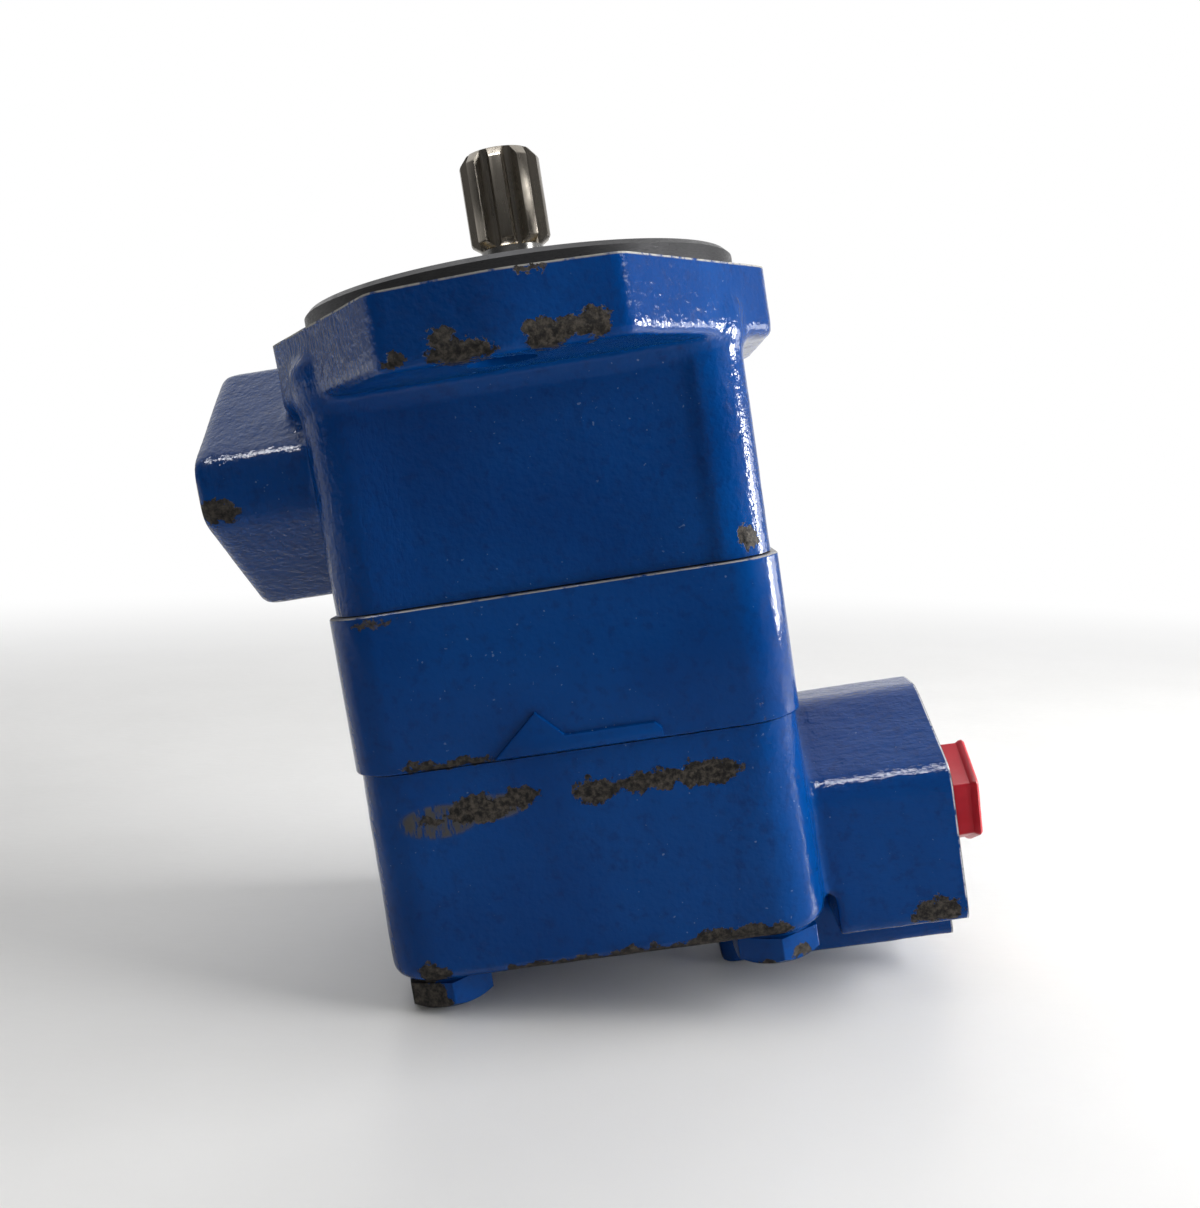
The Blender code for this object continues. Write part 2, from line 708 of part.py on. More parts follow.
def flow_arrow(face):
    """Raised half arrow that stands on the cam ring's rear edge and points to -X."""
    apex = -ARROW_HALF_LENGTH + ARROW_HEAD_LENGTH
    neck = apex + ARROW_HEAD_HEIGHT - ARROW_BAR_HEIGHT
    outline = [
        (-ARROW_HALF_LENGTH, 0),
        (ARROW_HALF_LENGTH, 0),
        (ARROW_HALF_LENGTH, ARROW_BAR_HEIGHT),
        (neck, ARROW_BAR_HEIGHT),
        (apex, ARROW_HEAD_HEIGHT),
    ]
    arrow = outline_solid("flow_arrow", [outline], -ARROW_ROOT, ARROW_RELIEF)
    lay_flat = Matrix.Rotation(math.pi / 2, 4, "X")
    arrow.matrix_world = Matrix.Translation((ARROW_SHIFT, -face, RING_REAR)) @ lay_flat
    return arrow


def make_cam_ring(materials):
    face = HALF_WIDTH + RING_PROUD
    levels = rim_levels(RING_REAR, RING_FRONT, CAST_RIM / 5, CAST_RIM / 5)
    ring = lofted("cam_ring", square_corners(face, HOUSING_CORNER), levels)
    join(ring, flow_arrow(face))
    low, high = RING_REAR - OVERCUT, RING_FRONT + OVERCUT
    cut(ring, outline_solid("cam_track", [cam_outline()], low, high))
    cut(ring, *screw_holes(low, high), *pin_holes(low, high))
    return finished("cam_ring", ring, materials["enamel"])


def cover_block():
    """Square part of the cover, which grows a little wider towards its rear face."""
    levels = rim_levels(0, COVER_LENGTH, CAST_RIM)
    flared = [(height, inset - COVER_FLARE * (COVER_LENGTH - height)) for height, inset in levels]
    return lofted("rear_cover", square_corners(HALF_WIDTH + COVER_PROUD, HOUSING_CORNER), flared)


def outlet_boss():
    """Outlet boss with a notch that clears the heads of the cover screws."""
    centre = OUTLET_HEIGHT
    right = [
        (OUTLET_HALF_WIDTH, OUTLET_BASE - centre, OUTLET_CORNER),
        (OUTLET_HALF_WIDTH, OUTLET_SHOULDER - centre, OUTLET_SHOULDER_CORNER),
        (OUTLET_RIDGE_HALF_WIDTH, OUTLET_TOP - centre, OUTLET_CORNER),
    ]
    corners = right + [(-x, y, r) for x, y, r in reversed(right)]
    root = HALF_WIDTH - HOUSING_CORNER / 2
    boss_levels = rim_levels(root, OUTLET_FACE, 0.0, OUTLET_RIM)
    boss = lofted("outlet_boss", corners, boss_levels, facing_x(1, centre))
    notch_end = SCREW_OFFSET + SCREW_HEAD_FLATS * HEAD_ROOM
    past = OUTLET_HALF_WIDTH + NOTCH_OVERCUT
    notch = box_corners(root - LONG_OVERCUT, notch_end, -past, past, OUTLET_CORNER)
    notch_levels = [(OUTLET_BASE - LONG_OVERCUT, 0.0), (CAST_RIM, 0.0)]
    cut(boss, lofted("head_notch", notch, notch_levels))
    return baked("outlet_boss", boss)


def support_pad():
    """Low pad under the outlet boss, which reaches below the screw heads."""
    end = OUTLET_FACE - PAD_SETBACK
    corners = box_corners(PAD_START, end, -PAD_HALF_WIDTH, PAD_HALF_WIDTH, PAD_CORNER)
    return lofted("support_pad", corners, rim_levels(-PAD_DEPTH, CAST_RIM * 2, OUTLET_RIM))


def outlet_passage():
    outside = OUTLET_FACE + SEAT_GAP * 10
    bottom = OUTLET_FACE - OUTLET_BORE_DEPTH
    profile = [
        (0, outside),
        (OUTLET_BORE_RADIUS, outside),
        (OUTLET_BORE_RADIUS, bottom),
        (OUTLET_CORE_RADIUS, bottom - OUTLET_CONE_LENGTH),
        (OUTLET_CORE_RADIUS, CHAMBER_RADIUS / 2),
        (0, CHAMBER_RADIUS / 2),
    ]
    port = turned("outlet_bore", profile, ROUND_STEPS)
    port.matrix_world = facing_x(1, OUTLET_HEIGHT)
    return port


def cover_chamber():
    step = PLATE_REAR - PLATE_BACK_ROOM
    profile = [
        (0, COVER_LENGTH + OVERCUT),
        (PLATE_BORE_RADIUS, COVER_LENGTH + OVERCUT),
        (PLATE_BORE_RADIUS, step),
        (CHAMBER_RADIUS, step),
        (CHAMBER_RADIUS, CHAMBER_FLOOR),
        (0, CHAMBER_FLOOR),
    ]
    return turned("cover_chamber", profile, ROUND_STEPS)


def make_rear_cover(materials):
    cover = cover_block()
    join(cover, outlet_boss(), support_pad())
    cut(cover, cover_chamber(), outlet_passage())
    high = COVER_LENGTH + OVERCUT
    cut(cover, *screw_holes(-OVERCUT, high))
    cut(cover, seal_groove("cover_seal_groove", COVER_LENGTH - FACE_GROOVE_DEPTH, high))
    return finished("rear_cover", cover, materials["enamel"])


def hexagon(across_flats, turn=0.0):
    radius = across_flats / math.sqrt(3)
    return [polar(radius, turn + math.tau * k / 6) for k in range(6)]


def screw_mesh():
    """Screw with its head down: hexagon with a chamfered end, and a plain shank."""
    head_top = -SEAT_GAP
    head_end = head_top - SCREW_HEAD_HEIGHT
    screw = outline_solid("screw", [hexagon(SCREW_HEAD_FLATS)], head_end, head_top)
    corner = SCREW_HEAD_FLATS / math.sqrt(3) + SCREW_HEAD_BEVEL
    edge = SCREW_HEAD_FLATS / 2 - SCREW_HEAD_BEVEL
    slope = (corner - edge) * math.tan(SCREW_HEAD_SLOPE)
    lens = [(0, 0), (corner, 0), (corner, head_end + slope), (edge, head_end), (0, head_end)]
    keep_inside(screw, turned("screw_envelope", lens, 24))
    shank_end = BODY_REAR + SCREW_GRIP
    tip = SCREW_RADIUS - SCREW_TIP_CHAMFER
    profile = [(0, shank_end), (tip, shank_end), (SCREW_RADIUS, shank_end - SCREW_TIP_CHAMFER)]
    profile += [(SCREW_RADIUS, head_top - OVERCUT), (0, head_top - OVERCUT)]
    join(screw, turned("screw_shank", profile, 16))
    return taken_mesh(baked("screw", screw))


def make_screws(materials):
    mesh = screw_mesh()
    for index, (x, y) in enumerate(screw_places(), start=1):
        turn = Matrix.Rotation(SCREW_TURN * index, 4, "Z")
        screw = solid("screw", mesh, Matrix.Translation((x, y, 0)) @ turn)
        finished(f"cover_screw_{index}", screw, materials["enamel"])


def make_pins(materials):
    low = COVER_LENGTH - PIN_ENGAGEMENT
    high = BODY_REAR + PIN_ENGAGEMENT
    chamfer = PIN_RADIUS / 4
    profile = [(0, high), (PIN_RADIUS - chamfer, high), (PIN_RADIUS, high - chamfer)]
    profile += [(PIN_RADIUS, low + chamfer), (PIN_RADIUS - chamfer, low), (0, low)]
    mesh = taken_mesh(turned("pin", profile, 12))
    for index, (x, y) in enumerate(pin_places(), start=1):
        copy = solid("pin", mesh, Matrix.Translation((x, y, 0)))
        finished(f"locating_pin_{index}", copy, materials["steel"])


def slot_outline(angle):
    """One vane slot with its keyhole, from its -side lip round to its +side lip."""
    half = VANE_THICKNESS / 2 + VANE_SLOT_CLEARANCE
    lip = math.asin(half / ROTOR_RADIUS)
    centre = ROTOR_RADIUS - VANE_SLOT_DEPTH
    mouth = math.asin(half / VANE_SLOT_KEYHOLE)
    points = [polar(ROTOR_RADIUS, angle - lip)]
    for step in range(9):
        around = -mouth - (math.tau - 2 * mouth) * step / 8
        x = centre + VANE_SLOT_KEYHOLE * math.cos(around)
        y = VANE_SLOT_KEYHOLE * math.sin(around)
        across = x * math.cos(angle) - y * math.sin(angle)
        along = x * math.sin(angle) + y * math.cos(angle)
        points.append((across, along))
    points.append(polar(ROTOR_RADIUS, angle + lip))
    return points


def vane_angle(index):
    return math.tau * (index + 0.5) / VANE_COUNT


def rotor_outline():
    points = []
    pitch = math.tau / VANE_COUNT
    for index in range(VANE_COUNT):
        angle = vane_angle(index)
        points += slot_outline(angle)
        points += [polar(ROTOR_RADIUS, angle + pitch * share) for share in (0.35, 0.5, 0.65)]
    return points


def tooth_half_angle(radius, gap):
    """Half the angle that a spline tooth fills at a radius; its flanks lean by 30 degrees."""
    half = math.pi * SPLINE_PITCH_RADIUS / SPLINE_TEETH / 2 + gap
    return (half - (radius - SPLINE_PITCH_RADIUS) * math.tan(SPLINE_FLANK)) / radius


def spline_outline(gap=0.0):
    """Outline of the splined shaft, grown by gap for the hole that it fits."""
    points = []
    root = SPLINE_ROOT_RADIUS + gap
    major = SPLINE_MAJOR_RADIUS + gap
    for tooth in range(SPLINE_TEETH):
        middle = math.tau * tooth / SPLINE_TEETH
        wide = tooth_half_angle(root, gap)
        narrow = tooth_half_angle(major, gap)
        points.append(polar(root, middle - wide))
        points.append(polar(major, middle - narrow))
        points.append(polar(major, middle + narrow))
        points.append(polar(root, middle + wide))
    return points


def spline_spaces(name, low, high):
    """Cutter for the spaces between the shaft's teeth."""
    reach = SPLINE_MAJOR_RADIUS + SPACE_OVERCUT
    outlines = []
    for space in range(SPLINE_TEETH):
        middle = math.tau * (space + 0.5) / SPLINE_TEETH
        half_pitch = math.pi / SPLINE_TEETH
        narrow = half_pitch - tooth_half_angle(SPLINE_ROOT_RADIUS, 0)
        wide = half_pitch - tooth_half_angle(reach, 0)
        root = [polar(SPLINE_ROOT_RADIUS, middle + side * narrow) for side in (1, -1)]
        mouth = [polar(reach, middle + side * wide) for side in (-1, 1)]
        outlines.append(root + mouth)
    return outline_solid(name, outlines, low, high)


def make_rotor(materials, axis):
    outlines = [rotor_outline(), spline_outline(SPLINE_GAP)]
    rotor = outline_solid("rotor", outlines, RING_REAR, RING_FRONT)
    finished("rotor", rotor, materials["steel"], axis)


def vane_mesh():
    """Vane along local X from its foot to its rounded tip."""
    half = VANE_THICKNESS / 2
    bulge = half * VANE_TIP_BULGE
    tip = [(VANE_HEIGHT - bulge * (1 - math.cos(a)), half * math.sin(a)) for a in tip_angles()]
    outline = [(0, -half)] + tip + [(0, half)]
    return taken_mesh(outline_solid("vane", [outline], RING_REAR, RING_FRONT))


def tip_angles():
    return [math.radians(degrees) for degrees in (-90, -50, -17, 17, 50, 90)]


def make_vanes(materials, axis):
    mesh = vane_mesh()
    foot = CAM_MINOR_RADIUS - VANE_TIP_CLEARANCE - VANE_HEIGHT
    for index in range(VANE_COUNT):
        angle = vane_angle(index)
        place = Matrix.Rotation(angle, 4, "Z") @ Matrix.Translation((foot, 0, 0))
        vane = solid("vane", mesh, place)
        finished(f"vane_{index + 1:02d}", vane, materials["steel"], axis)


def make_pressure_plate(materials):
    pocket = STUB_RADIUS + SEAT_GAP * 2
    groove = PLATE_RADIUS - FACE_GROOVE_DEPTH
    seal_middle = PLATE_FRONT - PLATE_SEAL_SETBACK
    feed_inner = ROTOR_RADIUS - VANE_SLOT_DEPTH - VANE_SLOT_KEYHOLE
    feed_outer = feed_inner + 2 * VANE_SLOT_KEYHOLE
    profile = [
        (0, PLATE_FRONT - PLATE_POCKET_DEPTH),
        (pocket, PLATE_FRONT - PLATE_POCKET_DEPTH),
        (pocket, PLATE_FRONT),
        (feed_inner, PLATE_FRONT),
        (feed_inner, PLATE_FRONT - FEED_GROOVE_DEPTH),
        (feed_outer, PLATE_FRONT - FEED_GROOVE_DEPTH),
        (feed_outer, PLATE_FRONT),
        (PLATE_RADIUS, PLATE_FRONT),
        (PLATE_RADIUS, seal_middle + SEAL_GROOVE_HALF_WIDTH),
        (groove, seal_middle + SEAL_GROOVE_HALF_WIDTH),
        (groove, seal_middle - SEAL_GROOVE_HALF_WIDTH),
        (PLATE_RADIUS, seal_middle - SEAL_GROOVE_HALF_WIDTH),
        (PLATE_RADIUS, PLATE_REAR),
        (0, PLATE_REAR),
    ]
    plate = turned("pressure_plate", profile, ROUND_STEPS)
    high = PLATE_FRONT + OVERCUT
    cut(plate, kidneys("outlet_kidneys", OUTLET_KIDNEYS, PLATE_REAR - OVERCUT, high))
    cut(plate, *pin_holes(COVER_LENGTH - PIN_ENGAGEMENT - PLATE_FLOAT - SEAT_GAP, high))
    finished("pressure_plate", plate, materials["steel"])
    seal_radius = groove + FACE_GROOVE_DEPTH / 2 + SEAT_GAP / 2
    seal_ring("pressure_plate_seal", seal_radius, seal_middle, materials["rubber"], ROUND_STEPS)


def seal_ring(name, radius, height, material, steps=HIDDEN_STEPS):
    profile = []
    for step in range(SECTION_STEPS):
        x, z = polar(SEAL_SECTION, -math.tau * step / SECTION_STEPS)
        profile.append((radius + x, height + z))
    ring = turned(name, profile, steps, closed=True)
    finished(name, ring, material)


def make_face_seals(materials):
    lift = (FACE_GROOVE_DEPTH - SEAT_GAP) / 2
    seal_ring("body_ring_seal", FACE_SEAL_RADIUS, BODY_REAR + lift, materials["rubber"])
    seal_ring("cover_ring_seal", FACE_SEAL_RADIUS, COVER_LENGTH - lift, materials["rubber"])


def make_spring(materials):
    """Open coil between the chamber's floor and the pressure plate."""
    low = CHAMBER_FLOOR + SEAT_GAP + SPRING_WIRE_RADIUS
    high = PLATE_REAR - SEAT_GAP - SPRING_WIRE_RADIUS
    steps = int(SPRING_TURNS * SPRING_STEPS)
    curve = bpy.data.curves.new("spring", "CURVE")
    curve.dimensions = "3D"
    curve.bevel_depth = SPRING_WIRE_RADIUS
    curve.bevel_resolution = 1
    curve.use_fill_caps = True
    spline = curve.splines.new("POLY")
    spline.points.add(steps)
    for step, point in enumerate(spline.points):
        x, y = polar(SPRING_RADIUS, math.tau * SPRING_TURNS * step / steps)
        point.co = (x, y, low + (high - low) * step / steps, 1)
    source = bpy.data.objects.new("spring", curve)
    bpy.context.scene.collection.objects.link(source)
    finished("pressure_plate_spring", baked("spring", source), materials["steel"])


def race_profile(land, wall, side):
    """Closed section of a race; side is 1 for the outer race and -1 for the inner one."""
    middle = BEARING_MIDDLE
    half = BEARING_WIDTH / 2
    groove = BALL_RADIUS + BALL_GAP
    open_angle = math.acos((land - BALL_CIRCLE_RADIUS) * side / groove)
    arc = []
    for step in range(5):
        angle = open_angle * (1 - step / 2)
        x, z = polar(groove, angle)
        arc.append((BALL_CIRCLE_RADIUS + side * x, middle + z))
    chamfer = (wall - land) * 0.2
    rise = chamfer * side
    lower = [(land, middle - half), (wall - chamfer, middle - half), (wall, middle - half + rise)]
    upper = [(wall, middle + half - rise), (wall - chamfer, middle + half), (land, middle + half)]
    return arc + lower + upper


def make_bearing(materials, axis, cage_axis):
    outer = race_profile(BALL_CIRCLE_RADIUS + RACE_LAND_GAP, BEARING_OUTER_RADIUS, 1)
    inner = race_profile(BALL_CIRCLE_RADIUS - RACE_LAND_GAP, BEARING_BORE_RADIUS + FIT_GAP / 2, -1)
    outer_race = turned("bearing_outer_race", outer, ROUND_STEPS, closed=True)
    inner_race = turned("bearing_inner_race", inner, ROUND_STEPS, closed=True)
    finished("bearing_outer_race", outer_race, materials["steel"])
    finished("bearing_inner_race", inner_race, materials["steel"], axis)
    make_cage(materials, cage_axis)
    make_balls(materials, cage_axis)


def make_cage(materials, cage_axis):
    low, high = BEARING_MIDDLE - CAGE_HALF_WIDTH, BEARING_MIDDLE + CAGE_HALF_WIDTH
    cage = ring_cutter("bearing_cage", BALL_CIRCLE_RADIUS, CAGE_THICKNESS / 2, low, high)
    for index in range(BALL_COUNT):
        near = BALL_CIRCLE_RADIUS - CAGE_THICKNESS * 2
        far = BALL_CIRCLE_RADIUS + CAGE_THICKNESS * 2
        pocket = cylinder(f"ball_pocket_{index}", BALL_RADIUS + BALL_GAP, near, far, 10)
        pocket.matrix_world = facing_x(1, BEARING_MIDDLE)
        cut(cage, spin(pocket, 360 * index / BALL_COUNT))
    finished("bearing_cage", cage, materials["brass"], cage_axis)


def make_balls(materials, cage_axis):
    mesh = bpy.data.meshes.new("bearing_ball")
    shape = bmesh.new()
    bmesh.ops.create_uvsphere(shape, u_segments=BALL_SEGMENTS, v_segments=BALL_RINGS, radius=BALL_RADIUS)
    shape.to_mesh(mesh)
    shape.free()
    tidy_mesh(mesh)
    for index in range(BALL_COUNT):
        x, y = polar(BALL_CIRCLE_RADIUS, math.tau * index / BALL_COUNT)
        ball = solid("ball", mesh, Matrix.Translation((x, y, BEARING_MIDDLE)))
        finished(f"bearing_ball_{index + 1}", ball, materials["steel"], cage_axis)


def snap_ring_outline(groove_radius, side):
    """Open ring with two lugs; side is 1 inside a bore and -1 round a shaft."""
    edge = groove_radius - side * FIT_GAP
    band = edge - side * SNAP_RING_BAND
    lug = edge - side * SNAP_RING_BAND * LUG_DEPTH
    start = SNAP_RING_MOUTH / 2
    lug_end = start + SNAP_RING_BAND * LUG_WIDTH / groove_radius
    count = 24
    angles = [start + (math.tau - 2 * start) * step / count for step in range(count + 1)]
    near = [polar(edge, angle) for angle in angles]
    far = [polar(band, angle) for angle in reversed(angles) if lug_end < angle < math.tau - lug_end]
    first_lug = [polar(lug, -start), polar(lug, -lug_end), polar(band, -lug_end)]
    last_lug = [polar(band, lug_end), polar(lug, lug_end), polar(lug, start)]
    return near + first_lug + far + last_lug


def lug_hole_outline(groove_radius, side, sign):
    middle_radius = groove_radius - side * (FIT_GAP + SNAP_RING_BAND * LUG_DEPTH / 2)
    middle_angle = sign * (SNAP_RING_MOUTH / 2 + SNAP_RING_BAND * LUG_WIDTH / 2 / groove_radius)
    x, y = polar(middle_radius, middle_angle)
    hole = [polar(SNAP_RING_BAND * LUG_HOLE, -math.tau * k / 8) for k in range(8)]
    return [(x + dx, y + dy) for dx, dy in hole]


def make_snap_rings(materials, axis):
    bore_groove = BEARING_OUTER_RADIUS + FIT_GAP + SNAP_GROOVE_DEPTH
    shaft_groove = BEARING_BORE_RADIUS - SNAP_GROOVE_DEPTH
    for name, groove, side, parent in (
        ("bearing_snap_ring", bore_groove, 1, None),
        ("shaft_snap_ring", shaft_groove, -1, axis),
    ):
        outlines = [snap_ring_outline(groove, side)]
        outlines += [lug_hole_outline(groove, side, sign) for sign in (-1, 1)]
        ring = outline_solid(name, outlines, SNAP_RING_REAR, SNAP_RING_FRONT)
        finished(name, spin(ring, SNAP_RING_TURN), materials["steel"], parent)


def make_shaft_seal(materials):
    """Pressed metal case, rubber lip that runs on the journal, and the garter spring on the lip."""
    front, rear = SHAFT_SEAL_FRONT, SHAFT_SEAL_REAR
    wall = SEAL_CASE_WALL
    outer = SEAL_OUTER_RADIUS
    window = SEAL_JOURNAL_RADIUS + SEAL_WINDOW_GAP
    case = [(outer, front), (outer, rear), (outer - wall, rear), (outer - wall, front - wall)]
    case += [(window, front - wall), (window, front)]
    case_ring = turned("case", case, HIDDEN_STEPS, closed=True)
    finished("shaft_seal_case", case_ring, materials["steel"])
    lip = SEAL_JOURNAL_RADIUS + FIT_GAP
    back = outer - wall - FIT_GAP
    top = front - wall - FIT_GAP
    notch = lip + LIP_THICKNESS
    edge = rear + LIP_EDGE_HEIGHT
    rubber = [
        (back, top),
        (back, top - LIP_WEB),
        (notch, top - LIP_WEB - GARTER_SECTION),
        (notch, edge + GARTER_SECTION),
        (notch - GARTER_SECTION / 2, edge),
        (notch, edge - GARTER_SECTION),
        (lip + LIP_THICKNESS * 2 / 3, rear + LIP_TAPER),
        (lip, edge),
        (lip + LIP_TAPER, top),
    ]
    lip_ring = turned("lip", rubber, HIDDEN_STEPS, closed=True)
    finished("shaft_seal_lip", lip_ring, materials["rubber"])
    centre = notch + GARTER_SECTION + FIT_GAP / 2
    coil = []
    for step in range(SECTION_STEPS):
        x, z = polar(GARTER_SECTION, -math.tau * step / SECTION_STEPS)
        coil.append((centre + x, edge + z))
    garter = turned("garter", coil, HIDDEN_STEPS, closed=True)
    finished("shaft_seal_spring", garter, materials["steel"])


def make_bush(materials):
    inner = BEARING_BORE_RADIUS + FIT_GAP
    chamfer = BUSH_WALL / 5
    profile = [(BUSH_RADIUS, BUSH_FRONT - chamfer), (BUSH_RADIUS, BUSH_REAR), (inner, BUSH_REAR)]
    profile += [(inner, BUSH_FRONT), (BUSH_RADIUS - chamfer, BUSH_FRONT)]
    bush = turned("bush", profile, HIDDEN_STEPS, closed=True)
    finished("shaft_bush", bush, materials["bronze"])


def shaft_profile():
    """Turned outline of the shaft from its splined end down to the stub in the pressure plate."""
    spline_rear = SHAFT_END - SPLINE_LENGTH
    groove = BEARING_BORE_RADIUS - SNAP_GROOVE_DEPTH
    journal_rear = BUSH_FRONT + OVERCUT
    return [
        (0, SHAFT_END),
        (SPLINE_MAJOR_RADIUS - SPLINE_CHAMFER, SHAFT_END),
        (SPLINE_MAJOR_RADIUS, SHAFT_END - SPLINE_CHAMFER),
        (SPLINE_MAJOR_RADIUS, spline_rear + SPLINE_CHAMFER),
        (NECK_RADIUS, spline_rear),
        (NECK_RADIUS, PILOT_FACE + NECK_TAPER),
        (BEARING_BORE_RADIUS - JOURNAL_CHAMFER, PILOT_FACE),
        (BEARING_BORE_RADIUS, PILOT_FACE - JOURNAL_CHAMFER / 2),
        (BEARING_BORE_RADIUS, SNAP_RING_FRONT + SEAT_GAP),
        (groove, SNAP_RING_FRONT + SEAT_GAP),
        (groove, SNAP_RING_REAR - SEAT_GAP / 2),
        (BEARING_BORE_RADIUS, SNAP_RING_REAR - SEAT_GAP / 2),
        (BEARING_BORE_RADIUS, BEARING_SHOULDER),
        (SEAL_JOURNAL_RADIUS, BEARING_SHOULDER),
        (SEAL_JOURNAL_RADIUS, journal_rear),
        (BEARING_BORE_RADIUS, journal_rear),
        (BEARING_BORE_RADIUS, RING_FRONT),
        (SPLINE_MAJOR_RADIUS, RING_FRONT),
        (SPLINE_MAJOR_RADIUS, RING_REAR),
        (STUB_RADIUS, RING_REAR),
        (STUB_RADIUS, PLATE_FRONT - STUB_LENGTH + STUB_CHAMFER),
        (STUB_RADIUS - STUB_CHAMFER, PLATE_FRONT - STUB_LENGTH),
        (0, PLATE_FRONT - STUB_LENGTH),
    ]


def make_shaft(materials, axis):
    shaft = turned("drive_shaft", shaft_profile(), ROUND_STEPS)
    spline_rear = SHAFT_END - SPLINE_LENGTH - SPLINE_RUNOUT
    cut(shaft, spline_spaces("drive_spline", spline_rear, SHAFT_END + OVERCUT))
    cut(shaft, spline_spaces("rotor_spline", RING_REAR - SEAT_GAP / 2, RING_FRONT))
    finished("drive_shaft", shaft, materials["steel"], axis)


def make_plug(materials):
    """Plastic plug: hexagonal head outside the port, ribbed hollow stem inside it."""
    head_start = OUTLET_FACE + SEAT_GAP
    head_end = head_start + PLUG_HEAD_LENGTH
    outline = hexagon(PLUG_HEAD_FLATS, PLUG_HEAD_TURN)
    corners = [(x, y, PLUG_WALL / 2) for x, y in outline]
    levels = [
        (head_start, PLUG_LIP_FLARE / 2),
        (head_end - PLUG_LIP_LENGTH, 0.0),
        (head_end - PLUG_LIP_LENGTH / 2, -PLUG_LIP_FLARE),
        (head_end, 0.0),
    ]
    plug = lofted("outlet_port_plug", corners, levels)
    join(plug, turned("plug_stem", plug_stem_profile(head_start), ROUND_STEPS))
    hollow = OUTLET_BORE_RADIUS - SEAT_GAP - PLUG_RIB_RISE - PLUG_WALL
    low = head_start - PLUG_STEM_LENGTH - OVERCUT
    high = head_end - PLUG_WALL * 3 / 2
    cut(plug, cylinder("plug_hollow", hollow, low, high, ROUND_STEPS))
    place = facing_x(1, OUTLET_HEIGHT)
    plug.matrix_world = place
    for modifier in plug.modifiers:
        modifier.object.matrix_world = place
    finished("outlet_port_plug", plug, materials["plastic"])


def plug_stem_profile(head_start):
    """Stem with two ribs that grip the port."""
    rib = OUTLET_BORE_RADIUS - SEAT_GAP
    valley = rib - PLUG_RIB_RISE
    end = head_start - PLUG_STEM_LENGTH
    profile = [(0, head_start + OVERCUT), (valley, head_start + OVERCUT)]
    for count in (1, 2):
        middle = head_start - PLUG_RIB_PITCH * count
        profile.append((valley, middle + PLUG_RIB_PITCH / 3))
        profile.append((rib, middle))
        profile.append((valley, middle - PLUG_RIB_PITCH / 3))
    profile += [(valley, end + PLUG_RIB_RISE * 2), (valley - PLUG_RIB_RISE * 2, end), (0, end)]
    return profile


def build():
    clear_scene()
    materials = make_materials()
    shaft_axis = joint_empty("shaft_axis", (0, 0, PILOT_FACE))
    cage_axis = joint_empty("cage_axis", (0, 0, BEARING_MIDDLE))
    make_front_body(materials)
    make_cam_ring(materials)
    make_rear_cover(materials)
    make_screws(materials)
    make_pins(materials)
    make_pressure_plate(materials)
    make_face_seals(materials)
    make_spring(materials)
    make_bearing(materials, shaft_axis, cage_axis)
    make_snap_rings(materials, shaft_axis)
    make_shaft_seal(materials)
    make_bush(materials)
    make_shaft(materials, shaft_axis)
    make_rotor(materials, shaft_axis)
    make_vanes(materials, shaft_axis)
    make_plug(materials)


build()
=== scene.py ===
import math

import bmesh
import bpy
from mathutils import Matrix, Vector, noise


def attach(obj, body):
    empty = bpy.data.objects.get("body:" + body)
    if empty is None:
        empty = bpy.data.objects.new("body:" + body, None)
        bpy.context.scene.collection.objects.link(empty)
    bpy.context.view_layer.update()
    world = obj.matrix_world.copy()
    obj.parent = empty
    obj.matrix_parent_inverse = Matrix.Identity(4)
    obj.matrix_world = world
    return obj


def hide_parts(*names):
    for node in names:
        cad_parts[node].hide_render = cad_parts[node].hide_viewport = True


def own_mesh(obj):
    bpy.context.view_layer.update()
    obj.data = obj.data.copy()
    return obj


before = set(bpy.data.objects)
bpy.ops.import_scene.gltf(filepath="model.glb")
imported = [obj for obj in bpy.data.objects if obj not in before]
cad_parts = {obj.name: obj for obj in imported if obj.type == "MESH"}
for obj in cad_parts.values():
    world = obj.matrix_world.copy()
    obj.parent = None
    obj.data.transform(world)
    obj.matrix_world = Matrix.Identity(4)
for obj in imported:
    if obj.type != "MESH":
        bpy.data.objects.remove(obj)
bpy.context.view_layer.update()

# Sizes repeated from the part's source, in metres: gaps, then the housing stack
SEAT_GAP = 0.0003
FIT_GAP = 0.0002
OVERCUT = 0.001
COVER_LENGTH = 0.03755
RING_REAR = COVER_LENGTH + SEAT_GAP
RING_FRONT = RING_REAR + 0.0275
BODY_REAR = RING_FRONT + SEAT_GAP
FLANGE_REAR = BODY_REAR + 0.03655
MOUNT_FACE = FLANGE_REAR + 0.0121
PILOT_FACE = MOUNT_FACE + 0.0063
SHAFT_END = MOUNT_FACE + 0.0328
SCREW_OFFSET = 0.0295
HALF_WIDTH = 0.0385
RING_HALF_WIDTH = 0.0395
COVER_HALF_WIDTH = 0.0388
COVER_FLARE = 0.013
HOUSING_CORNER = 0.0095
CAST_RIM = 0.0025
COLUMN_WIDTH = 0.0095
COLUMN_RISE = 0.0078
COLUMN_PROUD = 0.0009
FACE_SINK = 0.0007
RING_PROUD = 0.0001
FLANGE_FILLET = 0.0016

# Flange and pilot
TIP_RADIUS = 0.0635
TIP_HALF_WIDTH = 0.0190
SIDE_HALF_WIDTH = 0.0448
LEFT_SIDE_HALF_WIDTH = 0.0437
FRONT_TIP_SHIFT = 0.0015
SIDE_HALF_LENGTH = 0.0223
PILOT_RADIUS = 0.041275
BOLT_HOLE_RADIUS = 0.00555
BOLT_CIRCLE_RADIUS = 0.0532

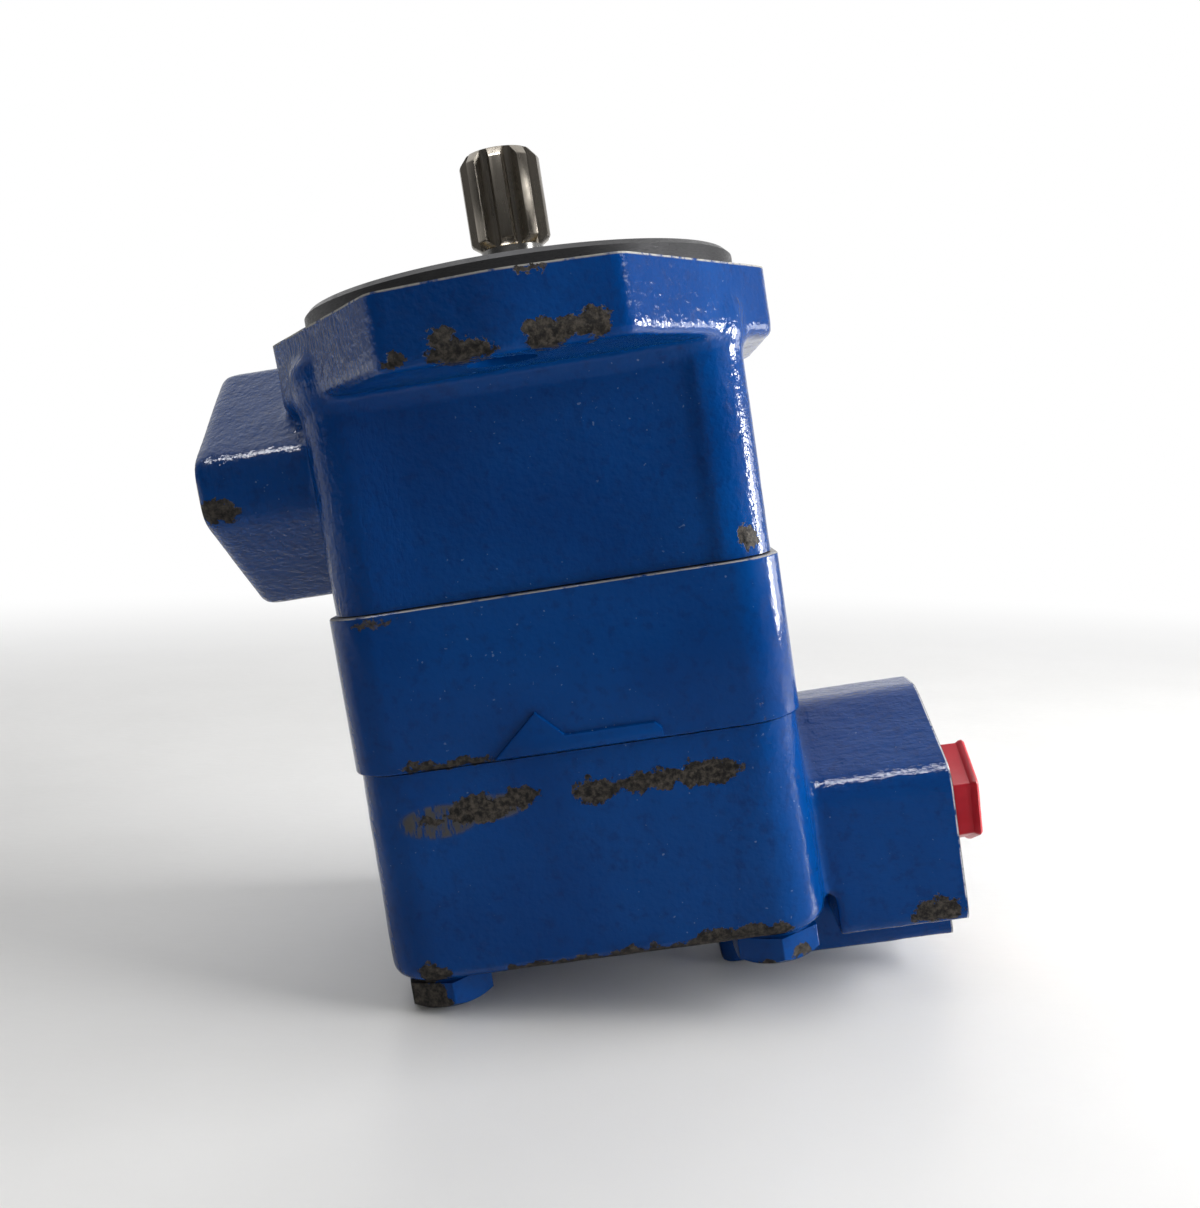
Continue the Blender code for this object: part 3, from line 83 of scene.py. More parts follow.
# Web between the inlet boss and the flange, with (height, inset) levels
WEB_REACH = 0.0445
WEB_HALF_WIDTH = 0.0250
WEB_LEVELS = [(0.0880, 0.0070), (0.0930, 0.0048), (0.0970, 0.0024), (0.1005, 0.0004), (0.1035, 0.0002)]

# Ports
INLET_FACE = 0.0604
INLET_HEIGHT = 0.0904
INLET_BORE_RADIUS = 0.0152
INLET_BORE_DEPTH = 0.0220
INLET_RIM = 0.0018
INLET_CHAMFER = 0.0014
INLET_THREAD_START = 0.0361
INLET_CORE_END = 0.0180
INLET_CORE_HALF_WIDTH = 0.0160
GALLERY_SETBACK = 0.0100
GALLERY_LENGTH = 0.0145
GALLERY_WALL = 0.0035
GALLERY_REACH = 0.0030
KIDNEY_HALF_ANGLE = 22
KIDNEY_WIDTH = 0.0040
BODY_INSIDE_RADIUS = 0.0260
OUTLET_FACE = 0.0645
OUTLET_HEIGHT = 0.0097
OUTLET_HALF_WIDTH = 0.0285
OUTLET_BASE = -0.0060
OUTLET_SHOULDER = 0.0220
OUTLET_TOP = 0.0335
OUTLET_RIDGE_HALF_WIDTH = 0.0062
OUTLET_BORE_RADIUS = 0.0086
OUTLET_BORE_DEPTH = 0.0190
OUTLET_CHAMFER = 0.0008
OUTLET_CORE_RADIUS = 0.0062
PAD_START = 0.0195
PAD_HALF_WIDTH = 0.0120
PAD_DEPTH = 0.0150
NOTCH_END = 0.0415

# Inside
SCREW_HOLE_RADIUS = 0.00515
SPOTFACE_RADIUS = 0.0090
SPOTFACE_DEPTH = 0.00002
SCREW_RADIUS = 0.00475
SCREW_HEAD_FLATS = 0.0143
SCREW_HEAD_HEIGHT = 0.0052
SCREW_TURNS = (43, 22, 36, 44)
PLATE_BORE_RADIUS = 0.0299
PLATE_REAR = COVER_LENGTH - 0.0130
CHAMBER_RADIUS = 0.0210
CHAMBER_FLOOR = 0.0095
CAM_MINOR_RADIUS = 0.0215
CAM_LIFT = 0.0025
PIN_CIRCLE_RADIUS = 0.0270
PIN_HOLE_RADIUS = 0.0018
FACE_SEAL_RADIUS = 0.03235
FACE_GROOVE_DEPTH = 0.0017
FACE_GROOVE_HALF_WIDTH = 0.00105
BEARING_FRONT = PILOT_FACE - 0.0032
BEARING_REAR = BEARING_FRONT - 0.0120
BEARING_RADIUS = 0.0200
BEARING_BORE_RADIUS = 0.0085
BALL_RADIUS = 0.00337
BALL_CIRCLE_RADIUS = 0.01425
CAGE_HALF_WALL = 0.0007
CAGE_HALF_LENGTH = 0.0045
SNAP_RING_REAR = BEARING_FRONT + SEAT_GAP
SNAP_RING_FRONT = SNAP_RING_REAR + 0.0015
SNAP_GROOVE_DEPTH = 0.0011
SNAP_RING_BAND = 0.0022
SEAL_RADIUS = 0.0150
SEAL_REAR = BEARING_REAR - SEAT_GAP - 0.0080
BUSH_RADIUS = 0.0110

# Shaft
SPLINE_TEETH = 9
SPLINE_PITCH_RADIUS = 0.007145
SPLINE_MAJOR_RADIUS = 0.00773
SPLINE_ROOT_RADIUS = 0.0060
SPLINE_LENGTH = 0.0187
SHAFT_END_SUNK = 0.0008
SEAL_JOURNAL_RADIUS = 0.0096
STUB_RADIUS = 0.0056

# Smoothness of the dressed pieces, the reach of cutters and the slack of tests on faces
VOXEL = 0.0008
FINE_STEPS = 96
BORE_STEPS = 72
PILOT_STEPS = 144
BODY_SOFTENING = 14
COVER_SOFTENING = 6
DOUBLE_DISTANCE = 1e-7
FAR = 0.2
MILLIMETRE = 0.001
HAIR = 0.0001


def new_object(name, mesh):
    obj = bpy.data.objects.new(name, mesh)
    bpy.context.scene.collection.objects.link(obj)
    return obj


def object_from(name, shape, place=None):
    """Object that holds a bmesh's faces, moved by place."""
    bmesh.ops.recalc_face_normals(shape, faces=shape.faces)
    if place is not None:
        bmesh.ops.transform(shape, matrix=place, verts=shape.verts)
    mesh = bpy.data.meshes.new(name)
    shape.to_mesh(mesh)
    shape.free()
    return new_object(name, mesh)


def evaluated_mesh(obj):
    """Mesh of a curve, or of an object with its modifiers applied."""
    bpy.context.view_layer.update()
    depsgraph = bpy.context.evaluated_depsgraph_get()
    return bpy.data.meshes.new_from_object(obj.evaluated_get(depsgraph))


def bake(obj):
    """Apply an object's modifiers to its mesh."""
    mesh = evaluated_mesh(obj)
    obj.modifiers.clear()
    obj.data = mesh
    return obj


def carve(obj, *tools, operation="DIFFERENCE"):
    """Cut tools out of an object, or join them to it, and remove the tools."""
    for tool in tools:
        modifier = obj.modifiers.new(tool.name, "BOOLEAN")
        modifier.operation = operation
        modifier.solver = "MANIFOLD"
        modifier.object = tool
    bake(obj)
    for tool in tools:
        bpy.data.objects.remove(tool)
    return obj


def polar(radius, angle):
    return radius * math.cos(angle), radius * math.sin(angle)


def facing_x(side, height=0.0):
    """Placement that turns local Z towards +X or -X and keeps local Y up, as height."""
    turn = Matrix(((0, 0, side), (side, 0, 0), (0, 1, 0))).to_4x4()
    return Matrix.Translation((0, 0, height)) @ turn


def rounded_outline(corners, inset=0.0, steps=10):
    """Outline of a convex polygon of (x, y, radius) corners, moved inwards by inset."""
    points = []
    for index, (x, y, radius) in enumerate(corners):
        here = Vector((x, y))
        back = (Vector(corners[index - 1][:2]) - here).normalized()
        ahead = (Vector(corners[(index + 1) % len(corners)][:2]) - here).normalized()
        centre = here + (back + ahead).normalized() * radius / math.sin(back.angle(ahead) / 2)
        start = math.atan2(back.x, -back.y)
        turn = (math.atan2(-ahead.x, ahead.y) - start) % math.tau
        for step in range(steps + 1):
            x, y = polar(radius - inset, start + turn * step / steps)
            points.append((centre.x + x, centre.y + y))
    return points


def rim_levels(low, high, low_rim=0.0, high_rim=0.0, steps=6):
    """Heights and insets of a prism whose lower and upper edges are rounded."""
    arc = [math.pi / 2 * step / steps for step in range(steps + 1)]
    lower = [(low + low_rim * (1 - math.cos(a)), low_rim * (1 - math.sin(a))) for a in arc]
    upper = [(high - high_rim * (1 - math.cos(a)), high_rim * (1 - math.sin(a))) for a in reversed(arc)]
    return (lower if low_rim else lower[:1]) + (upper if high_rim else upper[-1:])


def loft(name, corners, levels, place=None, steps=10):
    """Closed solid through the insets of one rounded outline, given as (height, inset) levels."""
    shape = bmesh.new()
    rings = []
    for height, inset in levels:
        outline = rounded_outline(corners, inset, steps)
        rings.append([shape.verts.new((x, y, height)) for x, y in outline])
    for lower, upper in zip(rings, rings[1:]):
        for i in range(len(lower)):
            j = (i + 1) % len(lower)
            shape.faces.new((lower[i], lower[j], upper[j], upper[i]))
    shape.faces.new(list(reversed(rings[0])))
    shape.faces.new(rings[-1])
    return object_from(name, shape, place)


def turned(name, profile, steps=FINE_STEPS, closed=False, place=None):
    """Turn (radius, height) points about Z; a closed profile makes a ring."""
    shape = bmesh.new()
    rings = []
    for radius, height in profile:
        count = steps if radius > 0 else 1
        angles = [math.tau * step / steps for step in range(count)]
        rings.append([shape.verts.new((*polar(radius, angle), height)) for angle in angles])
    pairs = list(zip(rings, rings[1:]))
    if closed:
        pairs.append((rings[-1], rings[0]))
    for near, far in pairs:
        for k in range(steps):
            quad = [near[k % len(near)], near[(k + 1) % steps % len(near)]]
            quad += [far[(k + 1) % steps % len(far)], far[k % len(far)]]
            corners = list(dict.fromkeys(quad))
            if len(corners) > 2:
                shape.faces.new(corners)
    return object_from(name, shape, place)


def cylinder(name, radius, low, high, place=None, steps=48):
    return turned(name, [(0, low), (radius, low), (radius, high), (0, high)], steps, place=place)


def upright(name, places, radius, low, high, steps=48):
    """Round cutters along Z, one at each (x, y) place."""
    return [cylinder(name, radius, low, high, Matrix.Translation((x, y, 0)), steps) for x, y in places]


def square_ring(name, inner, outer, low, high, steps=FINE_STEPS):
    """Ring with a rectangular section."""
    section = [(inner, low), (outer, low), (outer, high), (inner, high)]
    return turned(name, section, steps, closed=True)


def plate(name, outlines, low, high, bevel=0.0):
    """Extrude flat outlines from low to high with bevelled edges; inner outlines are holes."""
    curve = bpy.data.curves.new(name, "CURVE")
    curve.dimensions = "2D"
    curve.fill_mode = "BOTH"
    curve.extrude = (high - low) / 2 - bevel
    curve.bevel_depth = bevel
    curve.bevel_resolution = 1 if bevel else 0
    curve.offset = -bevel
    for outline in outlines:
        spline = curve.splines.new("POLY")
        spline.points.add(len(outline) - 1)
        for point, (x, y) in zip(spline.points, outline):
            point.co = (x, y, 0, 1)
        spline.use_cyclic_u = True
    source = new_object(name, curve)
    shape = bmesh.new()
    shape.from_mesh(evaluated_mesh(source))
    bpy.data.objects.remove(source)
    bmesh.ops.remove_doubles(shape, verts=shape.verts, dist=DOUBLE_DISTANCE)
    return object_from(name, shape, Matrix.Translation((0, 0, (low + high) / 2)))


def box(name, low, high):
    """Plain block between two corners, used as a cutter."""
    shape = bmesh.new()
    bmesh.ops.create_cube(shape, size=1)
    middle = (Vector(low) + Vector(high)) / 2
    size = Vector(high) - Vector(low)
    return object_from(name, shape, Matrix.Translation(middle) @ Matrix.Diagonal((*size, 1)))


def slab(name, axis, start, end):
    """Cutter from start to end along one axis, and far past the part along the others."""
    low, high = [-FAR] * 3, [FAR] * 3
    low[axis], high[axis] = start, end
    return box(name, low, high)


def cast_skin(name, shells, rounds):
    """Join overlapping shells into one skin with soft inner and outer corners."""
    shape = bmesh.new()
    for shell in shells:
        shape.from_mesh(shell.data)
        bpy.data.objects.remove(shell)
    obj = object_from(name, shape)
    skin = obj.modifiers.new("skin", "REMESH")
    skin.mode = "VOXEL"
    skin.voxel_size = VOXEL
    soften = obj.modifiers.new("soften", "SMOOTH")
    soften.factor = 0.5
    soften.iterations = rounds
    return bake(obj)


def soft_step(value, low, high):
    share = min(max((value - low) / (high - low), 0.0), 1.0)
    return share * share * (3 - 2 * share)


def uneven(obj, depth, size=0.007):
    """Give a cast skin the slow waviness of sand moulding."""
    obj.data.update()
    moves = []
    for vertex in obj.data.vertices:
        wave = noise.noise(vertex.co / size) + 0.5 * noise.noise(vertex.co / size * 2.3)
        moves.append(vertex.normal * depth * wave)
    for vertex, move in zip(obj.data.vertices, moves):
        vertex.co += move


def finish_piece(obj, body, nodes, materials, rule=None, angle=35):
    """Give a piece its materials, by a rule on each face, and put it in the frame."""
    obj.data.materials.clear()
    for material in materials:
        obj.data.materials.append(material)
    if rule:
        for face in obj.data.polygons:
            face.material_index = rule(face.center, face.normal)
    obj.data.shade_smooth()
    obj.data.set_sharp_from_angle(angle=math.radians(angle))
    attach(obj, body)
    if nodes:
        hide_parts(*nodes)
    return obj


def box_corners(x_low, x_high, y_low, y_high, corner):
    places = ((x_high, y_low), (x_high, y_high), (x_low, y_high), (x_low, y_low))
    return [(x, y, corner) for x, y in places]


def square_corners(half_width, corner):
    return box_corners(-half_width, half_width, -half_width, half_width, corner)


# Materials


class Nodes:
    """Short forms for building one material's node tree."""

    def __init__(self, name):
        self.material = bpy.data.materials.new(name)
        self.material.use_nodes = True
        self.tree = self.material.node_tree
        self.shader = self.tree.nodes["Principled BSDF"]

    def node(self, kind, inputs=None, **settings):
        """Node of one kind; inputs are given by name or number, as values or as sockets to link."""
        node = self.tree.nodes.new("ShaderNode" + kind)
        for key, value in settings.items():
            setattr(node, key, value)
        for key, value in (inputs or {}).items():
            self.put(node.inputs[key], value)
        return node

    def put(self, socket, value):
        if isinstance(value, bpy.types.NodeSocket):
            self.tree.links.new(value, socket)
        elif isinstance(value, (tuple, list)) and len(value) == 3 and len(socket.default_value) == 4:
            socket.default_value = (*value, 1)
        else:
            socket.default_value = value

    def place(self):
        return self.node("TexCoord").outputs["Object"]

    def math(self, operation, *values):
        return self.node("Math", dict(enumerate(values)), operation=operation).outputs[0]

    def times(self, first, second):
        return self.math("MULTIPLY", first, second)

    def plus(self, first, second):
        return self.math("ADD", first, second)

    def vector(self, operation, *values):
        node = self.node("VectorMath", dict(enumerate(values)), operation=operation)
        return node.outputs["Value" if operation == "LENGTH" else "Vector"]

    def axes(self, vector):
        """Sockets X, Y and Z of a vector."""
        return self.node("SeparateXYZ", {0: vector}).outputs

    def noise(self, place, size, detail=2.0, roughness=0.5, distortion=0.0, output="Fac"):
        """Noise whose cells are about size metres wide."""
        inputs = {"Vector": place, "Scale": 1 / size, "Detail": detail, "Roughness": roughness}
        return self.node("TexNoise", {**inputs, "Distortion": distortion}).outputs[output]

    def range(self, value, low, high, start=0.0, end=1.0):
        """Value that eases from start at low to end at high."""
        inputs = {"Value": value, "From Min": low, "From Max": high, "To Min": start, "To Max": end}
        return self.node("MapRange", inputs, interpolation_type="SMOOTHSTEP").outputs["Result"]

    def mix(self, share, first, second):
        return self.node("Mix", {0: share, 6: first, 7: second}, data_type="RGBA").outputs[2]

    def bump(self, height, strength, distance, below=None):
        inputs = {"Strength": strength, "Distance": distance, "Height": height}
        if below is not None:
            inputs["Normal"] = below
        return self.node("Bump", inputs).outputs["Normal"]

    def finish(self, color, roughness, normal=None, metallic=0.0):
        inputs = {"Base Color": color, "Roughness": roughness, "Metallic": metallic}
        if normal is not None:
            inputs["Normal"] = normal
        for name, value in inputs.items():
            self.put(self.shader.inputs[name], value)
        return self.material


# Places where the enamel is chipped through: centre and half extents in millimetres, and strength
CHIPS = (
    ((-4.5, -61.0, 103.6), (7.0, 6.0, 2.2), 1.00),
    ((-7.5, -61.0, 106.2), (2.6, 6.0, 2.2), 0.80),
    ((8.5, -60.5, 104.4), (5.8, 6.0, 2.6), 1.00),
    ((15.0, -60.0, 105.0), (4.0, 5.0, 3.4), 0.85),
    ((7.0, -60.0, 113.6), (4.0, 5.0, 1.2), 0.80),
    ((-15.0, -61.0, 104.0), (2.6, 5.0, 1.4), 0.95),
    ((-26.0, -39.0, 29.0), (3.0, 3.0, 1.4), 0.75),
    ((-17.5, -39.0, 29.7), (7.0, 3.0, 3.0), 1.00),
    ((-10.5, -39.0, 30.8), (4.5, 3.0, 2.2), 1.00),
    ((3.0, -39.0, 30.3), (5.2, 3.0, 2.6), 0.90),
    ((12.0, -39.0, 30.5), (7.0, 3.0, 2.2), 1.00),
    ((21.5, -39.0, 30.6), (7.5, 3.0, 2.6), 1.00),
    ((-8.0, -38.5, 0.4), (12.0, 3.4, 1.6), 1.00),
    ((6.0, -38.5, 0.6), (11.0, 3.4, 1.6), 0.95),
    ((23.0, -38.5, 1.2), (12.0, 3.4, 2.6), 1.00),
    ((-30.0, -38.5, 1.8), (3.6, 3.4, 2.6), 0.90),
    ((-22.0, -39.7, 38.4), (10.0, 3.0, 1.1), 1.00),
    ((59.0, -28.8, -3.0), (5.8, 2.0, 3.2), 0.95),
    ((-57.5, -26.0, 86.8), (5.0, 6.0, 2.6), 0.90),
    ((35.0, -37.5, 69.0), (2.6, 3.4, 3.2), 0.80),
    ((33.0, -39.5, 40.0), (2.0, 3.0, 3.6), 0.55),
    ((-31.0, -39.5, 64.0), (6.0, 3.0, 0.8), 0.70),
)

# Places where the enamel is only rubbed thin
RUBS = (
    ((-25.0, -39.0, 28.6), (7.0, 4.0, 3.0), 0.95),
    ((-16.0, -39.0, 29.8), (7.0, 4.0, 2.4), 0.80),
)


# Noise that breaks up the chips' borders: the width of its cells, and how far they push a border
CHIP_CELL = 1 / 420
CHIP_WANDER = 0.006

ENAMEL_TONES = ((0.0000, 0.0340, 0.165), (0.0004, 0.0440, 0.200))
# Dark blue of a mottle that is partly random tone and partly painted shade for the orange peel's dimples.
ENAMEL_PEEL_SHADE = (0.0000, 0.0200, 0.106)
DUST = (0.12, 0.20, 0.30)
RUBBED = (0.060, 0.056, 0.048)
CHIP_IRON = ((0.005, 0.005, 0.005), (0.080, 0.066, 0.052))


def patch_reach(nodes, place, centre, size):
    """Distance from a patch's centre as a share of its half extents, so that 1 is its border."""
    offset = nodes.vector("SUBTRACT", place, [value * MILLIMETRE for value in centre])
    return nodes.vector("LENGTH", nodes.vector("DIVIDE", offset, [value * MILLIMETRE for value in size]))


def chip_mask(nodes, place, chips):
    """Share of the enamel that is gone, from the listed places broken up by noise."""
    wander = nodes.noise(place, CHIP_CELL, 6, 0.68, output="Color")
    spread = nodes.vector("MULTIPLY", nodes.vector("SUBTRACT", wander, (0.5,) * 3), (CHIP_WANDER,) * 3)
    loose = nodes.vector("ADD", place, spread)
    total = 0.0
    for centre, size, strength in chips:
        reach = patch_reach(nodes, loose, centre, size)
        total = nodes.math("MAXIMUM", nodes.range(reach, 1.25, 0.55, 0.0, strength), total)
    grain = nodes.noise(place, 0.0011, 6, 0.75)
    return nodes.range(nodes.plus(total, nodes.times(grain, 0.6)), 0.90, 1.00)


def enamel(name, grain, chips=(), edges=(), rough_zone=None, edge_color=(0.30, 0.29, 0.26)):
    """Glossy blue enamel over a casting; grain is the depth of its orange peel.

    A rough zone is (axis, low, high, stretch, depth): from low to high along the axis the peel
    turns into long waves, drawn out by stretch.
    """
    nodes = Nodes(name)
    place = nodes.place()
    broad = nodes.noise(place, 0.030)
    fine = nodes.noise(place, 0.0021, 3, 0.55)
    color = nodes.mix(nodes.range(broad, 0.35, 0.65), *ENAMEL_TONES)
    # Darker spots by fine noise: partly random tone, partly painted shade standing in for the orange peel's shaded
    # dimples.
    color = nodes.mix(nodes.range(fine, 0.50, 0.75, 0.0, 0.50), color, ENAMEL_PEEL_SHADE)
    specks = nodes.range(nodes.noise(place, 0.00075, 1), 0.74, 0.80)
    dust = nodes.times(specks, nodes.range(broad, 0.40, 0.62))
    color = nodes.mix(nodes.times(dust, 0.45), color, DUST)
    roughness = nodes.plus(nodes.range(fine, 0.3, 0.7, 0.10, 0.18), nodes.times(dust, 0.4))
    peel = nodes.plus(nodes.noise(place, 0.0012), nodes.times(nodes.noise(place, 0.0034), 0.7))
    normal = nodes.bump(peel, 1.0, grain)
    nodes.shader.inputs["Specular IOR Level"].default_value = 0.35
    if rough_zone:
        axis, low, high, stretch, depth = rough_zone
        share = nodes.range(nodes.axes(place)[axis], low, high)
        waves = nodes.noise(nodes.vector("MULTIPLY", place, stretch), 0.0011, 3, 0.55, 0.4)
        normal = nodes.bump(nodes.times(waves, share), 1.0, depth, normal)
    # Edge lines: worn bare edges, and on the rear cover a near-white painted highlight along the outlet face.
    if edges:
        edge_wear_and_highlight = edge_mask(nodes, place, edges)
        color = nodes.mix(edge_wear_and_highlight, color, edge_color)
        roughness = nodes.plus(roughness, nodes.times(edge_wear_and_highlight, 0.3))
    if chips:
        scrapes = nodes.noise(nodes.vector("MULTIPLY", place, (1.0, 1.0, 0.25)), 0.0012, 4, 0.7)
        for centre, size, strength in RUBS:
            reach = patch_reach(nodes, place, centre, size)
            worn = nodes.times(nodes.range(reach, 1.1, 0.8, 0.0, strength), nodes.range(scrapes, 0.36, 0.52))
            color = nodes.mix(worn, color, RUBBED)
            roughness = nodes.plus(roughness, nodes.times(worn, 0.3))
        gone = chip_mask(nodes, place, chips)
        stain = nodes.range(nodes.noise(place, 0.0009, 4, 0.7), 0.34, 0.74)
        color = nodes.mix(gone, color, nodes.mix(stain, *CHIP_IRON))
        roughness = nodes.plus(roughness, nodes.times(gone, 0.45))
        pits = nodes.times(nodes.noise(place, 0.0006, 3, 0.7), 0.8)
        depth = nodes.times(gone, nodes.math("SUBTRACT", pits, 1.2))
        normal = nodes.bump(depth, 1.0, 0.00012, normal)
    return nodes.finish(color, roughness, normal)


def edge_mask(nodes, place, edges):
    """Thin lines along machined edges, given as (axis, position, width): worn bare edges, and along the outlet face
    a painted highlight.
    """
    axes = nodes.axes(place)
    broken = nodes.noise(place, 0.0030, 3, 0.6)
    total = 0.0
    for axis, position, width in edges:
        away = nodes.math("ABSOLUTE", nodes.math("SUBTRACT", axes[axis], position))
        total = nodes.math("MAXIMUM", nodes.range(away, width, width * 0.4), total)
    return nodes.times(total, nodes.range(broken, 0.34, 0.52))


def machined(name, color, roughness, stretch=(1, 1, 1), depth=0.00002, metallic=1.0, size=0.0012, stained=0.35):
    """Metal with tool marks that run along the axes where stretch is small."""
    nodes = Nodes(name)
    place = nodes.place()
    marks = nodes.noise(nodes.vector("MULTIPLY", place, stretch), size, 4, 0.65)
    stains = nodes.noise(place, 0.006, 3, 0.6)
    dark = tuple(channel * 0.45 for channel in color)
    tone = nodes.mix(nodes.range(marks, 0.30, 0.70), color, tuple(channel * 0.72 for channel in color))
    tone = nodes.mix(nodes.range(stains, 0.50, 0.80, 0.0, stained), tone, dark)
    rough = nodes.plus(nodes.range(marks, 0.3, 0.7, roughness * 0.75, roughness * 1.25),
                       nodes.range(stains, 0.5, 0.7, 0.0, min(0.12, stained / 3)))
    return nodes.finish(tone, rough, nodes.bump(marks, 0.6, depth), metallic)


def threaded(name, color, pitch):
    """Machined bore with thread ridges along X; a wave texture at scale 1 has tau / 20 metres per band."""
    nodes = Nodes(name)
    place = nodes.place()
    inputs = {"Vector": place, "Scale": math.tau / 20 / pitch}
    wave = nodes.node("TexWave", inputs, wave_type="BANDS", bands_direction="X", wave_profile="TRI")
    stains = nodes.noise(place, 0.003, 3, 0.6)
    tone = nodes.mix(nodes.range(stains, 0.4, 0.7), color, tuple(channel * 0.8 for channel in color))
    normal = nodes.bump(wave.outputs["Fac"], 1.0, pitch * 0.45)
    return nodes.finish(tone, nodes.range(stains, 0.3, 0.7, 0.28, 0.45), normal, 1.0)


def plastic():
    nodes = Nodes("red_plastic")
    place = nodes.place()
    cloud = nodes.noise(place, 0.005)
    fine = nodes.noise(place, 0.0008)
    color = nodes.mix(nodes.range(cloud, 0.3, 0.7), (0.42, 0.005, 0.016), (0.50, 0.011, 0.025))
    nodes.shader.inputs["Specular IOR Level"].default_value = 0.3
    nodes.shader.inputs["Subsurface Weight"].default_value = 0.15
    nodes.shader.inputs["Subsurface Radius"].default_value = (0.003, 0.0004, 0.0004)
    return nodes.finish(color, nodes.range(cloud, 0.3, 0.7, 0.30, 0.42), nodes.bump(fine, 0.5, 0.00003))


def rubber():
    nodes = Nodes("seal_rubber")
    place = nodes.place()
    cloud = nodes.noise(place, 0.002, 3)
    color = nodes.mix(nodes.range(cloud, 0.3, 0.7), (0.012, 0.012, 0.013), (0.030, 0.030, 0.031))
    return nodes.finish(color, nodes.range(cloud, 0.3, 0.7, 0.45, 0.65), nodes.bump(cloud, 0.4, 0.00002))


LEFT_WAVES = ("X", -0.0185, -0.0240, (1.0, 1.0, 0.35), 0.00016)
OUTLET_WAVES = ("X", 0.0395, 0.0440, (0.35, 1.0, 1.0), 0.00014)
BODY_ENAMEL = enamel("body_enamel", 0.00014, CHIPS, (("Z", MOUNT_FACE, 0.0004),), LEFT_WAVES)
# Painted highlight on a worn rim: a broken near-white line along the rear cover's edge at the outlet face.
OUTLET_HIGHLIGHT_EDGE = (("X", OUTLET_FACE, 0.0004),)
COVER_ENAMEL = enamel("cover_enamel", 0.00010, CHIPS, OUTLET_HIGHLIGHT_EDGE, OUTLET_WAVES, (0.70, 0.72, 0.75))
RING_ENAMEL = enamel("ring_enamel", 0.00007, CHIPS, (("Z", RING_FRONT, 0.00025),))
SCREW_CHIPS = (
    ((-33.5, -35.0, -3.0), (6.2, 8.0, 4.0), 1.00),
    ((33.5, -35.0, -4.4), (2.6, 4.0, 1.6), 1.00),
    ((26.5, -37.0, -5.6), (5.0, 3.0, 1.0), 1.00),
)
SCREW_ENAMEL = enamel("screw_enamel", 0.00004, SCREW_CHIPS)
BARE_IRON = machined("bare_iron", (0.36, 0.35, 0.34), 0.38, (1, 1, 1), 0.00001, size=0.0008, stained=0.12)
BLACK_PILOT = machined("black_pilot", (0.072, 0.072, 0.075), 0.36, (1, 1, 6), 0.00001, 0.75)
SHAFT_STEEL = machined("shaft_steel", (0.38, 0.345, 0.295), 0.27, (1, 1, 0.12), 0.00003, stained=0.7)
JOURNAL_STEEL = machined("journal_steel", (0.50, 0.49, 0.47), 0.22, (1, 1, 6), 0.00001)
GROUND_STEEL = machined("ground_steel", (0.55, 0.55, 0.54), 0.28, (1, 1, 0.2), 0.00001)
BEARING_STEEL = machined("bearing_steel", (0.62, 0.62, 0.62), 0.12, (1, 1, 4), 0.000004)
SPRING_STEEL = machined("spring_steel", (0.14, 0.14, 0.15), 0.35, (1, 1, 1), 0.00001)
BRASS = machined("cage_brass", (0.62, 0.45, 0.17), 0.30, (1, 1, 3), 0.00001)
BRONZE = machined("bronze", (0.55, 0.34, 0.15), 0.34, (1, 1, 3), 0.00001)
INLET_THREAD = threaded("inlet_thread", (0.40, 0.39, 0.37), 0.0021)
OUTLET_THREAD = threaded("outlet_thread", (0.40, 0.39, 0.37), 0.0016)
RED_PLASTIC = plastic()
RUBBER = rubber()


# Castings

SCREW_PLACES = [(SCREW_OFFSET * sx, SCREW_OFFSET * sy) for sx in (-1, 1) for sy in (-1, 1)]
PIN_PLACES = [(0, PIN_CIRCLE_RADIUS * side) for side in (-1, 1)]
BOLT_PLACES = [(0, BOLT_CIRCLE_RADIUS * side) for side in (-1, 1)]


def flange_corners():
    """Two-bolt flange; its front tip leans a little to +X, as cast."""
    tip_depth = math.sqrt(TIP_RADIUS ** 2 - TIP_HALF_WIDTH ** 2)
    side = (SIDE_HALF_WIDTH, SIDE_HALF_LENGTH, 0.0070)
    tip = (TIP_HALF_WIDTH, tip_depth, 0.0030)
    nose = (0, TIP_RADIUS, TIP_HALF_WIDTH)
    right = [side, tip, nose]
    back = right + [(-x, y, r) for x, y, r in reversed(right[:-1])]
    front = [(-x + FRONT_TIP_SHIFT * (y > SIDE_HALF_LENGTH), -y, r) for x, y, r in back]
    return [(max(x, -LEFT_SIDE_HALF_WIDTH), y, radius) for x, y, radius in back + front]


def inlet_corners():
    upper = [(0.0266, 0.0053, 0.0048), (0.0, 0.0237, 0.0035), (-0.0266, 0.0053, 0.0048)]
    return upper + [(-x, -y, r) for x, y, r in upper]


